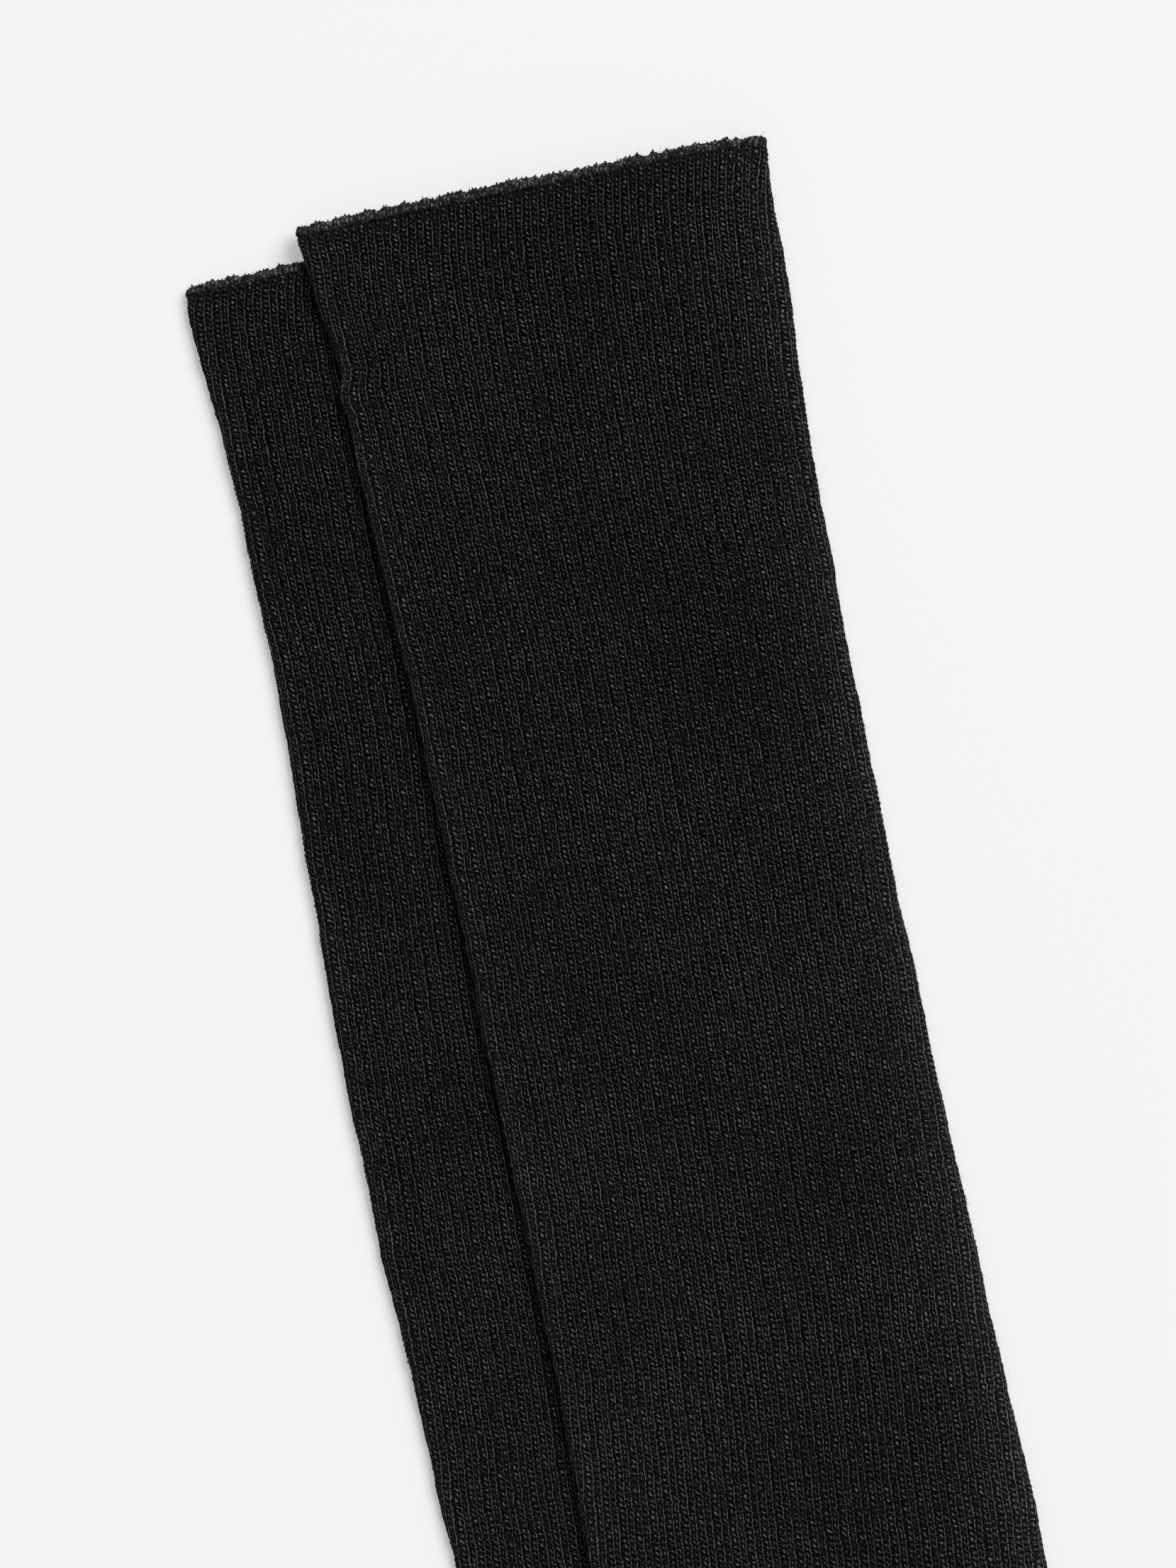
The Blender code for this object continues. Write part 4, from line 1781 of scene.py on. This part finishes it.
    def light(self) -> tuple:
        """Sums for how light the yarn is and how high it stands."""
        return (
            # The dashes, streaked by the twist.
            Step.between("streaky", "slanting", -0.85, 1.85, True),
            Step("once", "MULTIPLY_ADD", "slanted", -0.66, 0.62),
            Step("dash_now", "MULTIPLY", "streaky", "once"),
            Step("dash_in", "MULTIPLY", "dash_now", "window"),
            Step("of_two", "MULTIPLY_ADD", "pair_wave", 0.06, self.dash_light),
            Step("dash_part", "MULTIPLY", "dash_in", "of_two"),
            # The lines, fainter on the first courses as painted shade under the rolled rim.
            Step.between("steady", "standing", 0.69, 1.05),
            Step("bead", "MULTIPLY_ADD", "beading", -0.04, 0.86),
            Step.between("fine", "crossing", 0.0, 1.6, True),
            Step("line_seen", "MULTIPLY", "line", "steady"),
            Step("line_bead", "MULTIPLY", "line_seen", "bead"),
            Step("line_far", "MULTIPLY", "line_bead", "fine"),
            Step("under_rim_shade", "MULTIPLY_ADD", "v", 0.15, 0.35, True),
            Step("line_fine", "MULTIPLY", "line_far", "under_rim_shade"),
            Step("line_part", "MULTIPLY", "line_fine", self.line_light),
            Step("both", "MAXIMUM", "dash_part", "line_part"),
            # The haze of fibres, slight patches, and the painted light and shade from the mesh: lighter
            # folds and rim, darker high on the leg.
            Step.between("haze", "crossing", -2.3, 2.7, True),
            Step("banded", "MULTIPLY_ADD", "beading", -0.38, 0.62),
            Step("haze_once", "MULTIPLY", "haze", "banded"),
            Step("haze_part", "MULTIPLY", "haze_once", self.haze_light),
            Step("hazy", "MAXIMUM", "haze_part", "both"),
            Step.between("patchy", "patches", 0.88, 1.12),
            Step("worn", "MULTIPLY", "hazy", "patchy"),
            Step.between("down", "crossing", 0.08, 0.32),
            Step("painted_light_part", "MULTIPLY", "down", "painted_light"),
            Step("shade", "ADD", "worn", "painted_light_part", None, True),
            # The relief.
            Step("high", "MAXIMUM", "line", "dash_now"),
            Step("height", "MULTIPLY_ADD", "crossing", 0.3, "high"),
        )


@dataclass(frozen=True)
class RimWool(Wool):
    """The same yarn where it is linked off: plump slanting loops, lighter than the knitting, with painted
    light on their crests and on the roll's outside.
    """

    name: str = "merino_rim_linked"
    shades: tuple = ("#0A0A0A", "#323232", "#767676")
    roughness: float = 0.92
    level: float = 0.06
    sheen: float = 0.05
    bump: float = 0.10
    grain_size: float = 2 / 3  # mm

    def pattern(self, tree: bpy.types.NodeTree) -> dict:
        """Work out the loops with their woolly grain."""
        knit = add_node(tree, "ShaderNodeUVMap", uv_map=KNIT_MAP)
        split = add_node(tree, "ShaderNodeSeparateXYZ", {0: knit.outputs[0]})
        place = add_node(tree, "ShaderNodeTexCoord").outputs["Object"]
        grain = {"Vector": place, "Scale": 1 / (self.grain_size * MM), "Detail": 2.0}
        rough = add_node(tree, NOISE, grain)
        values = {"u": split.outputs[0], "v": split.outputs[1], "rough": rough.outputs[0]}
        return work_out(tree, values, self.loops())

    def loops(self) -> tuple:
        """Sums for the slanting loops of the edge."""
        return (
            # The loops lean over the roll, and their yarn is rough.
            Step("turned", "MULTIPLY", "v", TAU),
            Step("over", "SINE", "turned"),
            Step("lean", "MULTIPLY_ADD", "over", 0.5, "u"),
            Step("lean_now", "MULTIPLY_ADD", "rough", 0.3, "lean"),
            Step("wave", "MULTIPLY", "lean_now", TAU),
            Step("swing", "SINE", "wave"),
            Step("loop", "ABSOLUTE", "swing"),
            # Each is lightest on its crest and on the roll's outside, as painted light, with painted shade
            # on the roll's inner side.
            Step.between("grain", "rough", -1.75, 2.65, True),
            Step.between("part", "loop", 0.2, 0.85),
            Step("facing", "COSINE", "turned"),
            Step("edge", "MULTIPLY_ADD", "facing", 0.22, 0.86),
            Step("woolly", "MULTIPLY_ADD", "grain", "part", 0.10),
            Step("shade", "MULTIPLY", "woolly", "edge"),
            Step("height", "MULTIPLY_ADD", "rough", 0.6, "loop"),
        )


@dataclass(frozen=True)
class LooseWool(Wool):
    """Single black wool fibres, which look grey where they stand alone in the light."""

    name: str = "wool_fibre_loose"
    shades: tuple = ("#141414", "#3A3A3A")
    roughness: float = 0.7
    level: float = 0.2
    tone_size: float = 10 / 7  # mm

    def pattern(self, tree: bpy.types.NodeTree) -> dict:
        """Work out the slight differences between the fibres."""
        place = add_node(tree, "ShaderNodeTexCoord").outputs["Object"]
        tone = {"Vector": place, "Scale": 1 / (self.tone_size * MM), "Detail": 1.0}
        return {"shade": add_node(tree, NOISE, tone).outputs[0]}


# ---------------------------------------------------------------- studio


@dataclass
class Studio:
    """A pale table lit a little from below, soft light and the camera straight above."""

    floor_colour: str = "#C4C4C4"
    floor_glow: float = 0.36
    floor_size: float = 6.0
    sky_strength: float = 0.30
    key_energy: float = 768.0
    key_size: float = 5.5
    key_place: tuple = (4.9, 2.8, 6.5)
    lens: float = 100.0
    sensor: float = 36.0
    camera_height: float = 0.866
    target: tuple = (-0.0673, 0.1328)
    camera_roll: float = math.radians(-11.9)

    def floor(self) -> bpy.types.Object:
        """Lay the floor: frosted acrylic over a light, which keeps the shadows on it pale."""
        material, shader = start_material("acrylic_frosted_lit", 1.0, 0.0)
        shader.inputs["Base Color"].default_value = linear(self.floor_colour)
        shader.inputs["Emission Color"].default_value = linear("#FFFFFF")
        shader.inputs["Emission Strength"].default_value = self.floor_glow
        half = self.floor_size / 2
        data = bpy.data.meshes.new("floor")
        corners = [(-half, -half, 0), (half, -half, 0), (half, half, 0), (-half, half, 0)]
        data.from_pydata(corners, [], [(0, 1, 2, 3)])
        data.materials.append(material)
        floor = bpy.data.objects.new("floor", data)
        bpy.context.scene.collection.objects.link(floor)
        return floor

    def light(self) -> None:
        """Light the floor from a pale room and one broad soft lamp."""
        world = bpy.data.worlds.new("studio_room")
        world.use_nodes = True
        back = world.node_tree.nodes["Background"]
        back.inputs["Color"].default_value = linear("#FFFFFF")
        back.inputs["Strength"].default_value = self.sky_strength
        bpy.context.scene.world = world
        bpy.context.scene.view_settings.view_transform = "Standard"
        lamp = bpy.data.lights.new("softbox", "AREA")
        lamp.energy = self.key_energy
        lamp.shape = "SQUARE"
        lamp.size = self.key_size
        place = bpy.data.objects.new("softbox", lamp)
        place.location = self.key_place
        aim = Vector((self.target[0], self.target[1], 0.0)) - Vector(self.key_place)
        place.rotation_mode = "QUATERNION"
        place.rotation_quaternion = aim.to_track_quat("-Z", "Y")
        bpy.context.scene.collection.objects.link(place)

    def camera(self) -> None:
        """Hang the camera over the pair."""
        data = bpy.data.cameras.new("camera")
        data.lens = self.lens
        data.sensor_width = self.sensor
        data.clip_start = 0.01
        data.clip_end = 20.0
        camera = bpy.data.objects.new("camera", data)
        camera.location = (self.target[0], self.target[1], self.camera_height)
        camera.rotation_euler = (0.0, 0.0, self.camera_roll)
        bpy.context.scene.collection.objects.link(camera)
        bpy.context.scene.camera = camera


# ---------------------------------------------------------------- the pair


class Finishes(NamedTuple):
    """The pair's three materials."""

    knit: bpy.types.Material
    rim: bpy.types.Material
    loose: bpy.types.Material


@dataclass
class Sock:
    """One sock of the pair, with its cloth, its rim and its loose fibres."""

    tube: Tube
    shin_fuzz: float  # short hairs to a millimetre of the shin-side fold
    heel_fuzz: float = 11.0
    rim_wisps: int = 1900
    nap_hairs: int = 520  # on a stretch whose whole loop shows
    rim_draw: int = 31  # which of the sock's random draws its fibres take
    fold_draw: int = 40
    nap_draw: int = 60
    knitting: Knitting = field(init=False)

    def __post_init__(self) -> None:
        """Lay the knitting out on the tube."""
        self.knitting = Knitting(self.tube)

    def fuzz(self, fibres: LooseFibres, stretch: Stretch, reach: tuple) -> list:
        """Add the loose fibres of a stretch of the leg.

        Args:
            fibres: The maker of hairs.
            stretch: Which stretch.
            reach: Its first and last station.

        Returns:
            The fuzz on its two folds and the nap on its face.
        """
        lay = self.tube.lay
        name = f"{lay.name}_{stretch.title}"
        seed = lay.seed + list(Stretch).index(stretch)
        heel = fibres.edge(f"{name}_heel_fuzz", reach, 0.0, self.heel_fuzz, seed + self.fold_draw)
        shin = fibres.edge(f"{name}_shin_fuzz", reach, 0.5, self.shin_fuzz, seed + self.fold_draw)
        count = int(self.nap_hairs * lay.shown_to)
        nap = fibres.nap(f"{name}_nap", reach, (0.0, lay.shown_to), count, seed + self.nap_draw)
        return [heel, shin, nap]

    def build(self, finishes: Finishes, rests_on: list) -> list:
        """Build the sock's pieces.

        Args:
            finishes: The materials.
            rests_on: Names of what it lies on; not used.

        Returns:
            The stretches of cloth.
        """
        lay = self.tube.lay
        shell = SockShell(self.tube, self.knitting)
        rim = CuffRim(self.tube, self.knitting)
        fibres = LooseFibres(self.tube, finishes.loose)
        rim_piece = rim.build(finishes.rim)
        wisps = fibres.rim(f"{lay.name}_rim_wisps", rim, self.rim_wisps, lay.seed + self.rim_draw)
        going = [rim_piece, wisps]
        stretches = []
        for stretch in Stretch:
            piece = shell.build_stretch(stretch, finishes.knit)
            width, length, area = shell.cut_size(stretch)
            if stretch.on_leg:
                _, station = shell.rows(stretch)
                going += self.fuzz(fibres, stretch, (station[0], station[-1]))
            LOG.info("%s: cut %.0f x %.0f mm", piece.name, width, length)
            stretches.append(piece)
            going = []
        return stretches


def place_plan(plan: SockPlan) -> Array:
    """Shift from a sock's own plan to where the pair's solids lie, in millimetres."""
    tube = Tube(plan, Cloth(), UPPER, np.zeros(2))
    outline = tube.outline(spacing=2.0)
    low, high = (np.array(corner[:2]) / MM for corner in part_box(UPPER.name))
    middle = (low + high) / 2 - (outline.min(axis=0) + outline.max(axis=0)) / 2
    return np.array([middle[0], high[1] - outline[:, 1].max()])


def main() -> None:
    """Build the pair in the studio and report each piece."""
    logging.basicConfig(level=logging.INFO, format="%(message)s")
    studio = Studio()
    studio.camera()
    studio.light()
    floor = studio.floor()
    finishes = Finishes(KnitWool().material(), RimWool().material(), LooseWool().material())
    plan, cloth = SockPlan(), Cloth()
    shift = place_plan(plan)
    LOG.info("plan shifted by %.2f, %.2f mm", *shift)
    lower_tube = Tube(plan, cloth, LOWER, shift)
    lower = Sock(lower_tube, shin_fuzz=3.0).build(finishes, [floor.name])
    upper_tube = Tube(plan, cloth, UPPER, shift, lower_tube.outline(spacing=8.0))
    upper = Sock(upper_tube, shin_fuzz=11.0)
    upper.build(finishes, [floor.name] + [piece.name for piece in lower])


if __name__ == "__main__":
    main()
